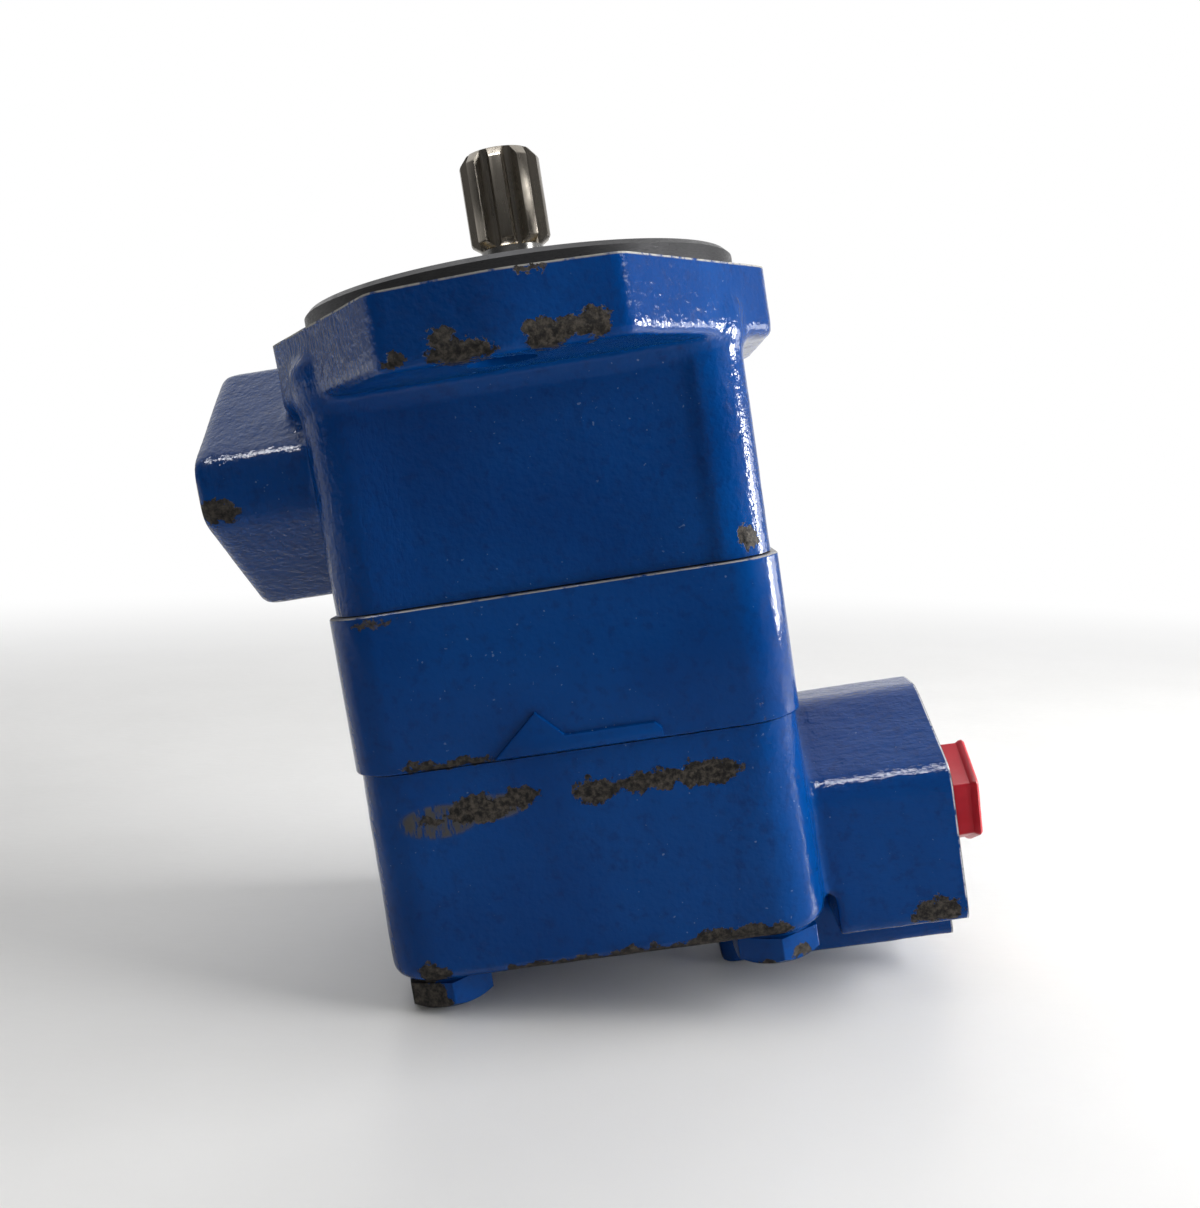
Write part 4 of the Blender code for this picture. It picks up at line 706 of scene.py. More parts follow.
def body_skin():
    """Cast skin of the front body, longer than the part wherever a machined face will cut it."""
    past = 0.004
    levels = [(BODY_REAR - past, 0.0), (FLANGE_REAR - FLANGE_FILLET, 0.0)]
    levels += [(FLANGE_REAR, -FLANGE_FILLET / 2), (FLANGE_REAR + OVERCUT, -COLUMN_PROUD)]
    for height, inset in rim_levels(FLANGE_REAR + 2 * OVERCUT, FLANGE_REAR + COLUMN_RISE, 0.0, CAST_RIM):
        levels.append((height, inset - COLUMN_PROUD))
    block = loft("block", square_corners(HALF_WIDTH, HOUSING_CORNER), levels)
    flange = loft("flange", flange_corners(), rim_levels(FLANGE_REAR, MOUNT_FACE + past, 0.0010))
    boss_levels = rim_levels(HALF_WIDTH - HOUSING_CORNER, INLET_FACE + 0.0002, 0.0, INLET_RIM)
    boss_levels.append((INLET_FACE + past, INLET_RIM + 0.0004))
    boss = loft("inlet_boss", inlet_corners(), boss_levels, facing_x(-1, INLET_HEIGHT))
    web = loft("web", box_corners(-WEB_REACH, 0.0, -WEB_HALF_WIDTH, WEB_HALF_WIDTH, HOUSING_CORNER), WEB_LEVELS)
    skin = cast_skin("front_casting", [block, flange, boss, web], BODY_SOFTENING)
    sink_faces(skin)
    uneven(skin, 0.00008)
    return skin


def sink_faces(obj):
    """Sink the flats between the corner columns by a little, with soft borders."""
    obj.data.update()
    column = HALF_WIDTH - COLUMN_WIDTH
    moved = []
    for vertex in obj.data.vertices:
        spot = vertex.co.copy()
        normal = vertex.normal.copy()
        height = soft_step(FLANGE_REAR - 0.0016 - spot.z, 0.0, 0.0014)
        for axis, side, across in ((1, -1, spot.x), (1, 1, spot.x), (0, 1, spot.y)):
            facing = max(normal[axis] * side, 0.0)
            on_face = soft_step(spot[axis] * side, HALF_WIDTH - 0.0016, HALF_WIDTH - 0.0008)
            slope_end = 0.0022 if across > 0 else 0.0085
            share = soft_step(column - abs(across), -0.0012, slope_end) * height * facing * on_face
            spot[axis] -= side * FACE_SINK * share
        moved.append(spot)
    for vertex, spot in zip(obj.data.vertices, moved):
        vertex.co = spot


def body_bore():
    """Everything turned from the pilot side: snap ring groove, bearing seat, seal and bush bores."""
    bearing = BEARING_RADIUS + FIT_GAP
    groove = bearing + SNAP_GROOVE_DEPTH
    seal = SEAL_RADIUS + FIT_GAP
    bush = BUSH_RADIUS + FIT_GAP
    shoulder = BEARING_REAR - SEAT_GAP
    chamfer = 0.0008
    profile = [
        (0, PILOT_FACE + OVERCUT),
        (bearing + chamfer + OVERCUT, PILOT_FACE + OVERCUT),
        (bearing, PILOT_FACE - chamfer),
        (bearing, SNAP_RING_FRONT + SEAT_GAP),
        (groove, SNAP_RING_FRONT + SEAT_GAP),
        (groove, SNAP_RING_REAR - SEAT_GAP / 2),
        (bearing, SNAP_RING_REAR - SEAT_GAP / 2),
        (bearing, shoulder),
        (seal, shoulder),
        (seal, SEAL_REAR - SEAT_GAP),
        (bush, SEAL_REAR - SEAT_GAP),
        (bush, BODY_REAR - OVERCUT),
        (0, BODY_REAR - OVERCUT),
    ]
    return turned("body_bore", profile, BORE_STEPS)


def port_mouth(face, radius, bottom, chamfer):
    """Profile of a port's bore from its face to its bottom, with a chamfer for the seal."""
    return [(0, face + OVERCUT), (radius + chamfer + OVERCUT, face + OVERCUT), (radius, face - chamfer),
            (radius, bottom)]


def inlet_cutters():
    """Port bore with its seal chamfer, the core behind it and the gallery that it feeds."""
    bottom = INLET_FACE - INLET_BORE_DEPTH
    profile = port_mouth(INLET_FACE, INLET_BORE_RADIUS, bottom, INLET_CHAMFER) + [(0, bottom - 0.0022)]
    port = turned("inlet_bore", profile, BORE_STEPS, place=facing_x(-1, INLET_HEIGHT))
    low = BODY_REAR + GALLERY_SETBACK
    high = low + GALLERY_LENGTH
    core = cylinder("inlet_core", (high - low) / 2 - FIT_GAP, 0.0190, bottom, facing_x(-1, (low + high) / 2))
    inner, outer = BUSH_RADIUS + GALLERY_WALL, CAM_MINOR_RADIUS + GALLERY_REACH
    return port, core, square_ring("gallery", inner, outer, low, high, BORE_STEPS)


def seal_groove(low, high):
    """Cutter for the face seal's groove round the ring's bores."""
    return square_ring("seal_groove", FACE_SEAL_RADIUS - FACE_GROOVE_HALF_WIDTH,
                       FACE_SEAL_RADIUS + FACE_GROOVE_HALF_WIDTH, low, high)


def kidney(middle):
    """Outline of a kidney port that feeds the vanes, round an angle in degrees."""
    angles = [math.radians(middle - KIDNEY_HALF_ANGLE + 2 * KIDNEY_HALF_ANGLE * step / 12) for step in range(13)]
    outer = [polar(CAM_MINOR_RADIUS, angle) for angle in angles]
    return outer + [polar(CAM_MINOR_RADIUS - KIDNEY_WIDTH, angle) for angle in reversed(angles)]


def pilot_disc():
    """Round pilot with a lead-in chamfer and a shallow relief at its root."""
    root = MOUNT_FACE - 0.004
    lead = 0.0009
    relief = 0.0003
    profile = [
        (0, PILOT_FACE),
        (PILOT_RADIUS - lead, PILOT_FACE),
        (PILOT_RADIUS, PILOT_FACE - lead),
        (PILOT_RADIUS, MOUNT_FACE + 2 * relief),
        (PILOT_RADIUS - relief, MOUNT_FACE + relief),
        (PILOT_RADIUS - relief, root),
        (0, root),
    ]
    return turned("pilot", profile, PILOT_STEPS)


def make_front_body():
    casting = body_skin()
    faces = [slab("rear_cut", 2, BODY_REAR - 0.02, BODY_REAR), slab("front_cut", 2, MOUNT_FACE, MOUNT_FACE + 0.02)]
    carve(casting, *faces, slab("inlet_cut", 0, -FAR, -INLET_FACE))
    carve(casting, pilot_disc(), operation="UNION")
    low = BODY_REAR - OVERCUT
    holes = upright("bolt_hole", BOLT_PLACES, BOLT_HOLE_RADIUS, FLANGE_REAR - 0.003, MOUNT_FACE + 0.003)
    holes += upright("screw_hole", SCREW_PLACES, SCREW_HOLE_RADIUS, low, BODY_REAR + 0.022)
    holes += upright("pin_hole", PIN_PLACES, PIN_HOLE_RADIUS, low, BODY_REAR + 0.0058, 24)
    holes.append(seal_groove(low, BODY_REAR + FACE_GROOVE_DEPTH))
    holes.append(plate("kidneys", [kidney(135), kidney(315)], low, BODY_REAR + GALLERY_SETBACK + OVERCUT))
    carve(casting, body_bore(), *inlet_cutters())
    carve(casting, *holes)
    materials = [BODY_ENAMEL, BARE_IRON, BLACK_PILOT, INLET_THREAD]
    finish_piece(casting, "housing", ["front_body"], materials, body_rule)


def body_rule(centre, normal):
    """Which material a face of the front body gets."""
    enamel_face, iron, pilot, thread = range(4)
    near_axis = math.hypot(centre.x, centre.y) < BODY_INSIDE_RADIUS
    port_radius = math.hypot(centre.y, centre.z - INLET_HEIGHT)
    if centre.z > MOUNT_FACE + HAIR / 2:
        return pilot
    machined_faces = ((MOUNT_FACE, 1), (BODY_REAR, -1))
    if any(abs(centre.z - face) < HAIR and normal.z * side > 0.9 for face, side in machined_faces):
        return iron
    if centre.x < -INLET_THREAD_START and port_radius < INLET_BORE_RADIUS + 2 * HAIR:
        return thread
    behind_port = -INLET_FACE + INLET_BORE_DEPTH < centre.x < -INLET_CORE_END
    if behind_port and abs(centre.y) < INLET_CORE_HALF_WIDTH and centre.z < MOUNT_FACE - OVERCUT:
        return iron
    seal_chamfer = centre.x < -0.0580 and port_radius < INLET_BORE_RADIUS + 0.0018
    if centre.x < -INLET_FACE + HAIR or seal_chamfer or near_axis:
        return iron
    return enamel_face


def flow_arrow():
    """Raised half arrow on the ring's rear edge, with soft borders."""
    half, bar = 0.0146, 0.0028
    apex, head = -half + 0.0082, 0.0073
    neck = apex + head - bar
    outline = [(-half, 0), (half, 0), (half, bar - 0.0012), (half - 0.0012, bar), (neck, bar), (apex, head)]
    arrow = plate("flow_arrow", [outline], -0.003, 0.0010, 0.0006)
    arrow.data.transform(Matrix.Rotation(math.pi / 2, 4, "X"))
    arrow.data.transform(Matrix.Translation((0.001, -RING_HALF_WIDTH, RING_REAR + 0.0002)))
    return arrow


def cam_outline():
    points = []
    for step in range(144):
        angle = math.tau * step / 144
        points.append(polar(CAM_MINOR_RADIUS + CAM_LIFT * math.cos(angle) ** 2, angle))
    return points


def make_cam_ring():
    levels = rim_levels(RING_REAR - RING_PROUD, RING_FRONT + RING_PROUD, 0.0005, 0.0005, 4)
    ring = loft("ring", square_corners(RING_HALF_WIDTH, HOUSING_CORNER), levels, steps=24)
    carve(ring, flow_arrow(), operation="UNION")
    low, high = RING_REAR - OVERCUT, RING_FRONT + OVERCUT
    holes = upright("hole", SCREW_PLACES, SCREW_HOLE_RADIUS, low, high)
    holes += upright("pin_hole", PIN_PLACES, PIN_HOLE_RADIUS, low, high, 24)
    carve(ring, plate("track", [cam_outline()], low, high), *holes)
    ring.name = "ring_body"

    def rule(centre, normal):
        flat = abs(normal.z) > 0.9 and min(centre.z - RING_REAR, RING_FRONT - centre.z) < 0.0
        return 1 if flat or math.hypot(centre.x, centre.y) < 0.0300 else 0

    finish_piece(ring, "housing", ["cam_ring"], [RING_ENAMEL, BARE_IRON], rule)


def cover_skin():
    past = 0.004
    levels = [(h, i - COVER_FLARE * (COVER_LENGTH - h)) for h, i in rim_levels(0, COVER_LENGTH + past, CAST_RIM)]
    block = loft("block", square_corners(COVER_HALF_WIDTH, HOUSING_CORNER), levels)
    centre = OUTLET_HEIGHT
    right = [
        (OUTLET_HALF_WIDTH, OUTLET_BASE - centre, 0.0026),
        (OUTLET_HALF_WIDTH, OUTLET_SHOULDER - centre, 0.0055),
        (OUTLET_RIDGE_HALF_WIDTH, OUTLET_TOP - centre, 0.0120),
    ]
    corners = right + [(-x, y, r) for x, y, r in reversed(right)]
    boss = loft("boss", corners, [(HALF_WIDTH - 0.005, 0.0), (OUTLET_FACE + past, 0.0)], facing_x(1, centre))
    notch = box("notch", (HALF_WIDTH - 0.008, -0.04, -0.02), (NOTCH_END, 0.04, CAST_RIM))
    carve(boss, notch)
    pad_levels = rim_levels(-PAD_DEPTH, CAST_RIM * 2, 0.0012)
    pad_corners = box_corners(PAD_START, OUTLET_FACE + past, -PAD_HALF_WIDTH, PAD_HALF_WIDTH, 0.0025)
    pad = loft("pad", pad_corners, pad_levels)
    skin = cast_skin("cover_casting", [block, boss, pad], COVER_SOFTENING)
    uneven(skin, 0.00010)
    return skin


def outlet_cutter():
    bottom = OUTLET_FACE - OUTLET_BORE_DEPTH
    end = CHAMBER_RADIUS / 2
    profile = port_mouth(OUTLET_FACE, OUTLET_BORE_RADIUS, bottom, OUTLET_CHAMFER)
    profile += [(OUTLET_CORE_RADIUS, bottom - 0.002), (OUTLET_CORE_RADIUS, end), (0, end)]
    return turned("outlet_bore", profile, BORE_STEPS, place=facing_x(1, OUTLET_HEIGHT))


def cover_chamber():
    step = PLATE_REAR - 0.0020
    profile = [
        (0, COVER_LENGTH + OVERCUT),
        (PLATE_BORE_RADIUS, COVER_LENGTH + OVERCUT),
        (PLATE_BORE_RADIUS, step),
        (CHAMBER_RADIUS, step),
        (CHAMBER_RADIUS, CHAMBER_FLOOR),
        (0, CHAMBER_FLOOR),
    ]
    return turned("chamber", profile, BORE_STEPS)


def make_rear_cover():
    casting = cover_skin()
    carve(casting, slab("front_cut", 2, COVER_LENGTH, COVER_LENGTH + 0.02), slab("outlet_cut", 0, OUTLET_FACE, FAR))
    holes = upright("screw_hole", SCREW_PLACES, SCREW_HOLE_RADIUS, -0.01, COVER_LENGTH + OVERCUT)
    holes += upright("spotface", SCREW_PLACES, SPOTFACE_RADIUS, -0.01, SPOTFACE_DEPTH)
    holes.append(seal_groove(COVER_LENGTH - FACE_GROOVE_DEPTH, COVER_LENGTH + OVERCUT))
    carve(casting, cover_chamber(), outlet_cutter(), *holes)
    materials = [COVER_ENAMEL, BARE_IRON, OUTLET_THREAD]
    finish_piece(casting, "housing", ["rear_cover"], materials, cover_rule)


def cover_rule(centre, normal):
    """Which material a face of the rear cover gets."""
    enamel_face, iron, thread = range(3)
    port_radius = math.hypot(centre.y, centre.z - OUTLET_HEIGHT)
    if centre.x > 0.040 and port_radius < OUTLET_BORE_RADIUS + 2 * HAIR:
        return thread
    core = centre.x > 0.020 and port_radius < OUTLET_CORE_RADIUS + 3 * HAIR
    front_face = centre.z > COVER_LENGTH - HAIR and normal.z > 0.9
    chamber = math.hypot(centre.x, centre.y) < PLATE_BORE_RADIUS + HAIR and centre.z > 0.0030
    return iron if core or centre.x > OUTLET_FACE - HAIR or front_face or chamber else enamel_face


# Screws, shaft, bearing and plug


def hexagon(across_flats, turn=0.0):
    return [polar(across_flats / math.sqrt(3), turn + math.tau * k / 6) for k in range(6)]


def make_screws():
    """Hexagon screws with a washer face, a bevelled head and a plain shank."""
    head_top = -SEAT_GAP
    head_end = head_top - SCREW_HEAD_HEIGHT
    corner = SCREW_HEAD_FLATS / math.sqrt(3)
    for index, (x, y) in enumerate(SCREW_PLACES, start=1):
        outline = [(hx, hy, 0.0004) for hx, hy in hexagon(SCREW_HEAD_FLATS)]
        head = loft("head", outline, [(head_end, 0.0), (head_top - 0.0004, 0.0)], steps=3)
        edge = SCREW_HEAD_FLATS / 2 - 0.0004
        slope = (corner - edge) * math.tan(math.radians(28))
        lens = [(0, 0), (corner, 0), (corner, head_end + slope + 0.0002)]
        lens += [(edge + 0.0003, head_end + 0.0002), (edge - 0.0003, head_end), (0, head_end)]
        carve(head, turned("lens", lens, 48), operation="INTERSECT")
        washer = [(0, head_top), (0.0069, head_top), (0.0069, head_top - 0.0008), (0, head_top - 0.0008)]
        end = BODY_REAR + 0.0200
        shank = [(0, end), (0.0038, end), (SCREW_RADIUS, end - 0.001), (SCREW_RADIUS, head_top - 0.0006)]
        shank.append((0, head_top - 0.0006))
        carve(head, turned("washer", washer, 48), turned("shank", shank, 32), operation="UNION")
        turn = SCREW_TURNS[index - 1]
        head.data.transform(Matrix.Translation((x, y, 0)) @ Matrix.Rotation(math.radians(turn), 4, "Z"))
        head.name = f"screw_{index}"
        finish_piece(head, "housing", [f"cover_screw_{index}"], [SCREW_ENAMEL, GROUND_STEEL],
                     lambda centre, normal: 1 if centre.z > 0.0005 else 0, 28)


def tooth_half_angle(radius, flank):
    half = math.pi * SPLINE_PITCH_RADIUS / SPLINE_TEETH / 2
    return (half - (radius - SPLINE_PITCH_RADIUS) * math.tan(math.radians(flank))) / radius


def spline_spaces(name, low, high, flank=30, turn=0):
    """Cutter for the spaces between the teeth, with rounded roots; flank and turn are in degrees."""
    outlines = []
    pitch = math.pi / SPLINE_TEETH
    radii = [SPLINE_ROOT_RADIUS + 0.00028, SPLINE_ROOT_RADIUS + 0.0006, 0.0070, 0.0074, SPLINE_MAJOR_RADIUS, 0.0090]
    for space in range(SPLINE_TEETH):
        middle = math.tau * (space + 0.5) / SPLINE_TEETH + math.radians(turn)
        wide = [(radius, pitch - tooth_half_angle(radius, flank)) for radius in radii]
        narrow = wide[0][1]
        root = [polar(SPLINE_ROOT_RADIUS, middle + narrow * share) for share in (0.6, 0.2, -0.2, -0.6)]
        lower = [polar(radius, middle - half) for radius, half in wide]
        upper = [polar(radius, middle + half) for radius, half in reversed(wide)]
        outlines.append(root + lower + upper)
    return plate(name, outlines, low, high)


def make_shaft():
    spline_rear = SHAFT_END - SPLINE_LENGTH
    end = SHAFT_END - SHAFT_END_SUNK
    groove = BEARING_BORE_RADIUS - SNAP_GROOVE_DEPTH
    journal_rear = BODY_REAR + 0.0188
    major = SPLINE_MAJOR_RADIUS
    profile = [
        (0, end - 0.0026),
        (0.0016, end),
        (major - 0.0019, end),
        (major - 0.0015, end - 0.0001),
        (major - 0.0002, end - 0.0017),
        (major, end - 0.0021),
        (major, spline_rear + 0.0014),
        (major - 0.0002, spline_rear + 0.0010),
        (0.0062, spline_rear + 0.0001),
        (0.0060, spline_rear - 0.0002),
        (0.0060, PILOT_FACE + 0.0024),
        (0.0064, PILOT_FACE + 0.0012),
        (BEARING_BORE_RADIUS - 0.0008, PILOT_FACE),
        (BEARING_BORE_RADIUS, PILOT_FACE - 0.0006),
        (BEARING_BORE_RADIUS, SNAP_RING_FRONT + SEAT_GAP),
        (groove, SNAP_RING_FRONT + SEAT_GAP),
        (groove, SNAP_RING_REAR - SEAT_GAP / 2),
        (BEARING_BORE_RADIUS, SNAP_RING_REAR - SEAT_GAP / 2),
        (BEARING_BORE_RADIUS, BEARING_REAR - SEAT_GAP),
        (SEAL_JOURNAL_RADIUS, BEARING_REAR - SEAT_GAP),
        (SEAL_JOURNAL_RADIUS, journal_rear),
        (BEARING_BORE_RADIUS, journal_rear),
        (BEARING_BORE_RADIUS, RING_FRONT),
        (major, RING_FRONT),
        (major, RING_REAR),
        (STUB_RADIUS, RING_REAR),
        (STUB_RADIUS, COVER_LENGTH - 0.0062),
        (STUB_RADIUS - 0.0008, COVER_LENGTH - 0.0070),
        (0, COVER_LENGTH - 0.0070),
    ]
    shaft = turned("splined_shaft", profile)
    carve(shaft, spline_spaces("drive_spline", spline_rear - 0.0004, SHAFT_END, 16, -10),
          spline_spaces("rotor_spline", RING_REAR - SEAT_GAP / 2, RING_FRONT))

    def rule(centre, normal):
        return 1 if centre.z < spline_rear - 0.0005 else 0

    finish_piece(shaft, "shaft", ["drive_shaft"], [SHAFT_STEEL, JOURNAL_STEEL], rule, 28)


def race_section(land, wall, side):
    middle = (BEARING_FRONT + BEARING_REAR) / 2
    half = (BEARING_FRONT - BEARING_REAR) / 2
    groove = BALL_RADIUS + 0.0003
    opening = math.acos((land - BALL_CIRCLE_RADIUS) * side / groove)
    arc = []
    for step in range(17):
        x, z = polar(groove, opening * (1 - step / 8))
        arc.append((BALL_CIRCLE_RADIUS + side * x, middle + z))
    bevel = 0.0007
    lower = [(land, middle - half), (wall - bevel * side, middle - half), (wall, middle - half + bevel)]
    upper = [(wall, middle + half - bevel), (wall - bevel * side, middle + half), (land, middle + half)]
    return arc + lower + upper


def make_bearing():
    middle = (BEARING_FRONT + BEARING_REAR) / 2
    outer = turned("outer_race", race_section(BALL_CIRCLE_RADIUS + 0.0022, BEARING_RADIUS, 1), closed=True)
    inner_wall = BEARING_BORE_RADIUS + FIT_GAP / 2
    inner = turned("inner_race", race_section(BALL_CIRCLE_RADIUS - 0.0022, inner_wall, -1), closed=True)
    finish_piece(outer, "housing", ["bearing_outer_race"], [BEARING_STEEL])
    finish_piece(inner, "shaft", ["bearing_inner_race"], [BEARING_STEEL])
    cage = square_ring("ball_cage", BALL_CIRCLE_RADIUS - CAGE_HALF_WALL, BALL_CIRCLE_RADIUS + CAGE_HALF_WALL,
                       middle - CAGE_HALF_LENGTH, middle + CAGE_HALF_LENGTH)
    pockets = []
    for index in range(8):
        turn = Matrix.Rotation(math.tau * index / 8, 4, "Z") @ facing_x(1, middle)
        pockets.append(cylinder("pocket", BALL_RADIUS + 0.0003, 0.0110, 0.0180, turn, 32))
    carve(cage, *pockets)
    finish_piece(cage, "ball_cage", ["bearing_cage"], [BRASS])
    for index in range(8):
        shape = bmesh.new()
        bmesh.ops.create_uvsphere(shape, u_segments=32, v_segments=18, radius=BALL_RADIUS)
        x, y = polar(BALL_CIRCLE_RADIUS, math.tau * index / 8)
        ball = object_from(f"ball_{index + 1}", shape, Matrix.Translation((x, y, middle)))
        finish_piece(ball, "ball_cage", [f"bearing_ball_{index + 1}"], [BEARING_STEEL])


def snap_ring_outline(groove_radius, side):
    """Open ring with two lugs; side is 1 inside a bore and -1 round a shaft."""
    edge = groove_radius - side * FIT_GAP
    band = edge - side * SNAP_RING_BAND
    lug = edge - side * SNAP_RING_BAND * 1.7
    start = math.radians(17)
    lug_end = start + SNAP_RING_BAND * 1.5 / groove_radius
    angles = [start + (math.tau - 2 * start) * step / 96 for step in range(97)]
    near = [polar(edge, angle) for angle in angles]
    far = [polar(band, angle) for angle in reversed(angles) if lug_end < angle < math.tau - lug_end]
    first_lug = [polar(lug, -start), polar(lug, -lug_end), polar(band, -lug_end)]
    last_lug = [polar(band, lug_end), polar(lug, lug_end), polar(lug, start)]
    return near + first_lug + far + last_lug


def lug_hole(groove_radius, side, sign):
    radius = groove_radius - side * (FIT_GAP + SNAP_RING_BAND * 0.85)
    x, y = polar(radius, sign * (math.radians(17) + SNAP_RING_BAND * 0.75 / groove_radius))
    hole = [polar(SNAP_RING_BAND * 0.32, -math.tau * k / 20) for k in range(20)]
    return [(x + dx, y + dy) for dx, dy in hole]


def make_snap_rings():
    bore_groove = BEARING_RADIUS + FIT_GAP + SNAP_GROOVE_DEPTH
    shaft_groove = BEARING_BORE_RADIUS - SNAP_GROOVE_DEPTH
    for node, groove, side, body in (
        ("bearing_snap_ring", bore_groove, 1, "housing"),
        ("shaft_snap_ring", shaft_groove, -1, "shaft"),
    ):
        outlines = [snap_ring_outline(groove, side)]
        outlines += [lug_hole(groove, side, sign) for sign in (-1, 1)]
        ring = plate(node + "_fine", outlines, SNAP_RING_REAR, SNAP_RING_FRONT, 0.00012)
        ring.data.transform(Matrix.Rotation(math.radians(250), 4, "Z"))
        finish_piece(ring, body, [node], [SPRING_STEEL])


def make_plug():
    """Plastic plug with a hexagonal head whose rim flares, and a ribbed hollow stem."""
    start = OUTLET_FACE + SEAT_GAP
    end = start + 0.0085
    corners = [(x, y, 0.0008) for x, y in hexagon(0.0180, math.radians(38))]
    levels = [(start, 0.0002), (start + 0.0004, 0.0), (end - 0.0016, 0.0001)]
    levels += [(end - 0.0010, -0.0003), (end - 0.0004, -0.0004), (end, 0.0)]
    plug = loft("port_plug", corners, levels, steps=5)
    rib = OUTLET_BORE_RADIUS - SEAT_GAP
    valley = rib - 0.0004
    profile = [(0, start + OVERCUT), (valley, start + OVERCUT)]
    for count in (1, 2):
        middle = start - 0.0030 * count
        profile += [(valley, middle + 0.0008), (rib, middle + 0.0002), (rib, middle - 0.0002)]
        profile.append((valley, middle - 0.0008))
    profile += [(valley, start - 0.0082), (valley - 0.0008, start - 0.0090), (0, start - 0.0090)]
    carve(plug, turned("stem", profile, 64), operation="UNION")
    carve(plug, cylinder("hollow", valley - 0.0016, start - 0.0100, end - 0.0024, steps=64))
    plug.data.transform(facing_x(1, OUTLET_HEIGHT))
    finish_piece(plug, "plug", ["outlet_port_plug"], [RED_PLASTIC], angle=30)


def make_plate_spring():
    """Coil behind the pressure plate, which shortens as the plate floats back."""
    wire = 0.0012
    low = CHAMBER_FLOOR + SEAT_GAP + wire
    high = PLATE_REAR - SEAT_GAP - wire
    curve = bpy.data.curves.new("plate_spring", "CURVE")
    curve.dimensions = "3D"
    curve.bevel_depth = wire
    curve.bevel_resolution = 4
    curve.use_fill_caps = True
    coil = curve.splines.new("POLY")
    coil.points.add(80)
    for step, point in enumerate(coil.points):
        x, y = polar(0.0150, math.tau * 2.5 * step / 80)
        point.co = (x, y, low + (high - low) * step / 80, 1)
    path = new_object("coil_path", curve)
    spring = new_object("plate_spring", evaluated_mesh(path))
    bpy.data.objects.remove(path)
    finish_piece(spring, "housing", ["pressure_plate_spring"], [SPRING_STEEL])
    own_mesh(spring)


def dress_inner_nodes():
    """Give the CAD nodes that keep their shape a finished material."""
    choices = {
        GROUND_STEEL: ["rotor", "pressure_plate", "locating_pin_1", "locating_pin_2"],
        SPRING_STEEL: ["shaft_seal_spring", "shaft_seal_case"],
        RUBBER: ["body_ring_seal", "cover_ring_seal", "pressure_plate_seal", "shaft_seal_lip"],
        BRONZE: ["shaft_bush"],
    }
    choices[GROUND_STEEL] += [f"vane_{number:02d}" for number in range(1, 13)]
    for material, names in choices.items():
        for name in names:
            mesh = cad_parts[name].data
            mesh.materials.clear()
            mesh.materials.append(material)


# Camera, floor and light

CAMERA_PLACE = Vector((0.01948, -0.24260, 0.08292))
CAMERA_YAW = math.radians(-3.146)
CAMERA_PITCH = math.radians(-5.955)
CAMERA_ROLL = math.radians(-8.872)
FOCAL_PIXELS = 1226.69
PHOTO_LONG_SIDE = 1208
SENSOR_WIDTH = 36


def make_camera():
    """Camera with the photograph's place, direction, roll and field of view."""
    camera = new_object("camera", bpy.data.cameras.new("camera"))
    turn = Matrix.Rotation(-CAMERA_YAW, 4, "Z") @ Matrix.Rotation(math.pi / 2 + CAMERA_PITCH, 4, "X")
    camera.matrix_world = Matrix.Translation(CAMERA_PLACE) @ turn @ Matrix.Rotation(CAMERA_ROLL, 4, "Z")
    camera.data.sensor_width = SENSOR_WIDTH
    camera.data.lens = SENSOR_WIDTH * FOCAL_PIXELS / PHOTO_LONG_SIDE
    camera.data.clip_start = 0.01
    bpy.context.scene.camera = camera


# The motor leans: it rests on its left screw heads and on the far edge of the pad
FLOOR_POINT = Vector((0.0195, 0.0, -0.0152))
FLOOR_SLOPE = 0.166

# Strength of the world for diffuse light, and of the room's front and sides in reflections
SKY_LEVEL = 0.23
ROOM_LEVEL = 0.14
SIDE_LEVEL = 0.32

# Floor as the camera sees it, and the dark grey painted onto the part of it in front of the object for reflections
# only, a painted dark reflection
FLOOR_TONES = ((0.720, 0.715, 0.705), (0.745, 0.740, 0.730))
FLOOR_MIRRORED = (0.065, 0.065, 0.065)


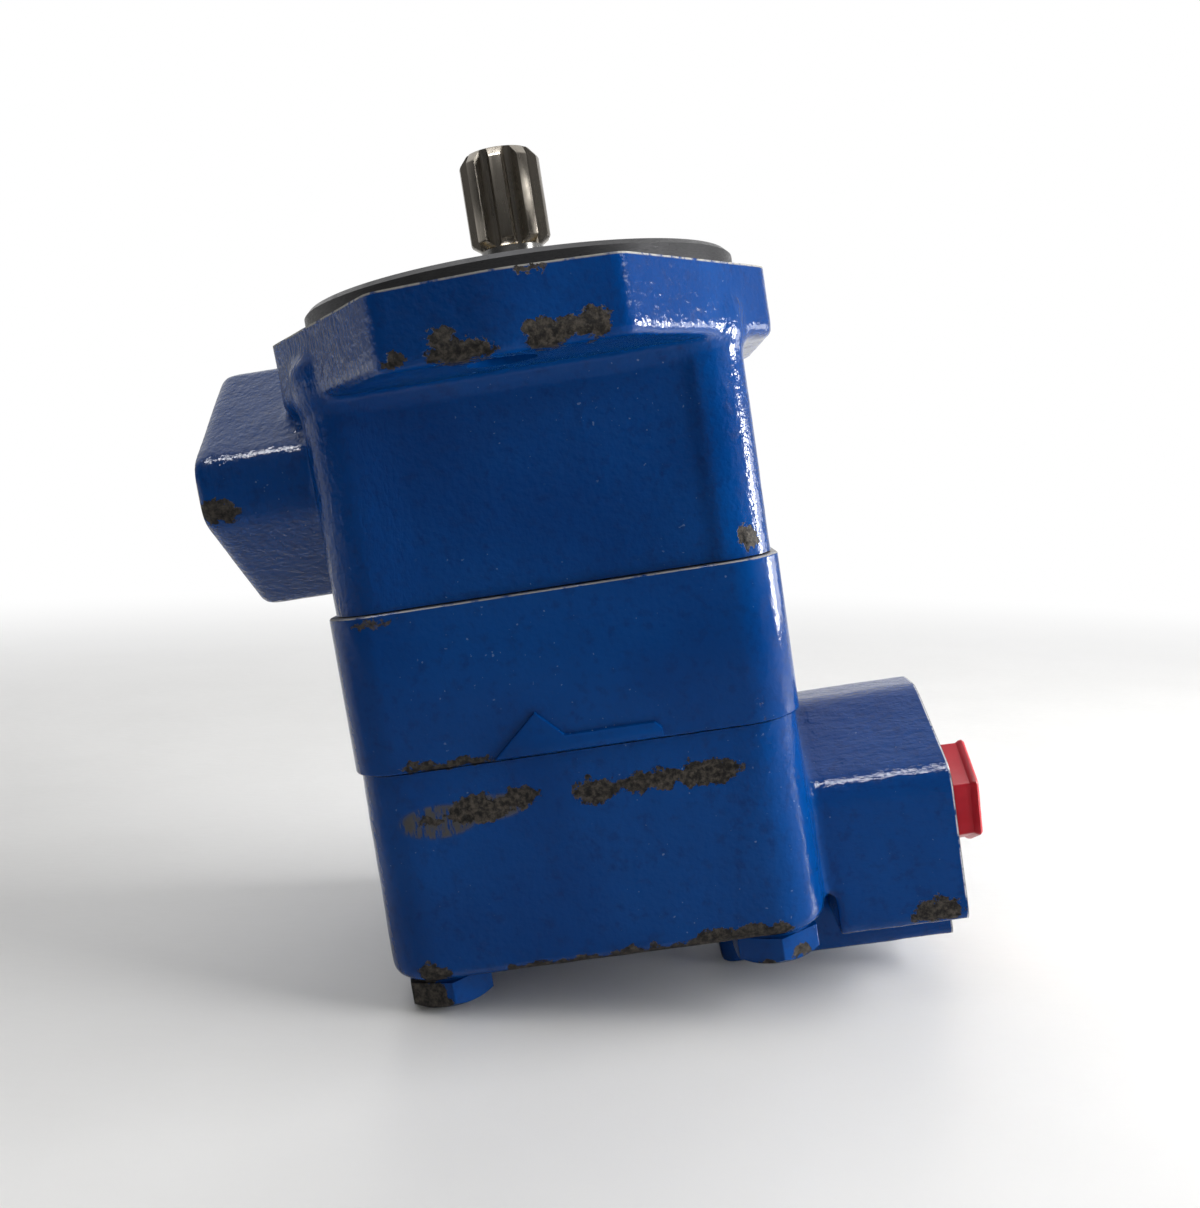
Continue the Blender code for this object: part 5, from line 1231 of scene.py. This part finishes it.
def make_floor():
    """Tilted pale floor that fades to white far from the object; to reflections only, its part in front of the
    object is painted dark grey.
    """
    up = Vector((FLOOR_SLOPE, 0.0, 1.0)).normalized()
    shape = bmesh.new()
    bmesh.ops.create_circle(shape, cap_ends=True, segments=64, radius=3.0)
    place = Matrix.Translation(FLOOR_POINT) @ up.to_track_quat("Z", "Y").to_matrix().to_4x4()
    floor = object_from("floor", shape, place)
    nodes = Nodes("pale_floor")
    spot = nodes.place()
    cloud = nodes.noise(spot, 0.05, 3)
    fine = nodes.noise(nodes.vector("MULTIPLY", spot, (1, 6, 1)), 0.004, 3)
    depth = nodes.axes(spot)["Y"]
    camera, mirrored = ray_kinds(nodes)
    # Painted reflection: reflections see the floor in front of the object as dark grey, so the object's faces
    # reflect it dark though the floor is pale.
    painted_dark_reflection = nodes.times(mirrored, nodes.range(depth, 0.02, -0.06))
    tone = nodes.mix(nodes.range(cloud, 0.3, 0.7), *FLOOR_TONES)
    tone = nodes.mix(nodes.times(painted_dark_reflection, 0.85), tone, FLOOR_MIRRORED)
    nodes.finish(tone, nodes.range(fine, 0.3, 0.7, 0.30, 0.42))
    far_side = nodes.times(mirrored, nodes.range(depth, -0.35, -0.15, 0.0, 0.7))
    reach = nodes.range(nodes.vector("LENGTH", spot), 0.22, 0.75)
    fade = nodes.times(reach, nodes.plus(camera, far_side))
    glow = nodes.node("Emission", {"Color": (1, 1, 1, 1)}).outputs[0]
    mixed = nodes.node("MixShader", {0: fade, 1: nodes.shader.outputs[0], 2: glow}).outputs[0]
    nodes.put(nodes.tree.nodes["Material Output"].inputs["Surface"], mixed)
    floor.data.materials.append(nodes.material)


def ray_kinds(nodes):
    """1 for camera rays, and 1 for glossy and transmission rays, which show the background too."""
    path = nodes.node("LightPath").outputs
    return path["Is Camera Ray"], nodes.math("MAXIMUM", path["Is Glossy Ray"], path["Is Transmission Ray"])


def make_world():
    """White background, reflected as white behind the object and as a dimmer room in front of it."""
    world = bpy.data.worlds.new("studio")
    bpy.context.scene.world = world
    world.use_nodes = True
    nodes = Nodes.__new__(Nodes)
    nodes.tree = world.node_tree
    camera, mirrored = ray_kinds(nodes)
    direction = nodes.axes(nodes.node("TexCoord").outputs["Generated"])
    behind = nodes.range(direction["Y"], -0.30, 0.40, ROOM_LEVEL, 1.0)
    across = nodes.math("SUBTRACT", nodes.math("ABSOLUTE", direction["X"]), nodes.times(direction["Z"], 0.6))
    room = nodes.times(behind, nodes.range(across, 0.60, 0.10, SIDE_LEVEL, 1.0))
    shown = nodes.times(camera, 1 - SKY_LEVEL)
    reflected = nodes.times(mirrored, nodes.math("SUBTRACT", room, SKY_LEVEL))
    background = world.node_tree.nodes["Background"]
    background.inputs["Color"].default_value = (1, 1, 1, 1)
    nodes.put(background.inputs["Strength"], nodes.plus(nodes.plus(shown, reflected), SKY_LEVEL))


LAMP_TARGET = Vector((0, 0, 0.06))


def area_light(name, place, size, power, diffuse=True, glossy=True):
    """Softbox that faces the object; one kept from diffuse light only makes highlights."""
    light = new_object(name, bpy.data.lights.new(name, "AREA"))
    light.data.shape = "RECTANGLE"
    light.data.size, light.data.size_y = size
    light.data.energy = power
    light.visible_diffuse = diffuse
    light.visible_glossy = glossy
    direction = LAMP_TARGET - Vector(place)
    light.matrix_world = Matrix.Translation(place) @ direction.to_track_quat("-Z", "Y").to_matrix().to_4x4()


def make_lights():
    area_light("side", (0.60, -0.04, 0.14), (0.50, 0.50), 8.0, glossy=False)
    area_light("fill", (-0.35, -0.80, 0.50), (0.80, 0.60), 0.35, glossy=False)
    area_light("overhead", (-0.10, -0.10, 0.75), (0.60, 0.60), 1.4, glossy=False)
    area_light("behind", (0.10, 0.45, 0.70), (0.70, 0.50), 1.4, glossy=False)
    area_light("window", (0.59, 0.12, 0.045), (0.08, 0.12), 1.30, diffuse=False)
    area_light("curtain", (0.56, 0.20, 0.04), (0.34, 0.11), 0.55, diffuse=False)
    area_light("tooth", (0.57, -0.16, 0.28), (0.20, 0.14), 0.45, diffuse=False)
    area_light("strip", (-0.02, -0.22, 0.68), (0.60, 0.12), 5.6, diffuse=False)


make_camera()
make_floor()
make_world()
make_lights()
make_front_body()
make_cam_ring()
make_rear_cover()
make_screws()
make_shaft()
make_bearing()
make_snap_rings()
make_plug()
make_plate_spring()
dress_inner_nodes()
bpy.context.scene.view_settings.view_transform = "Standard"
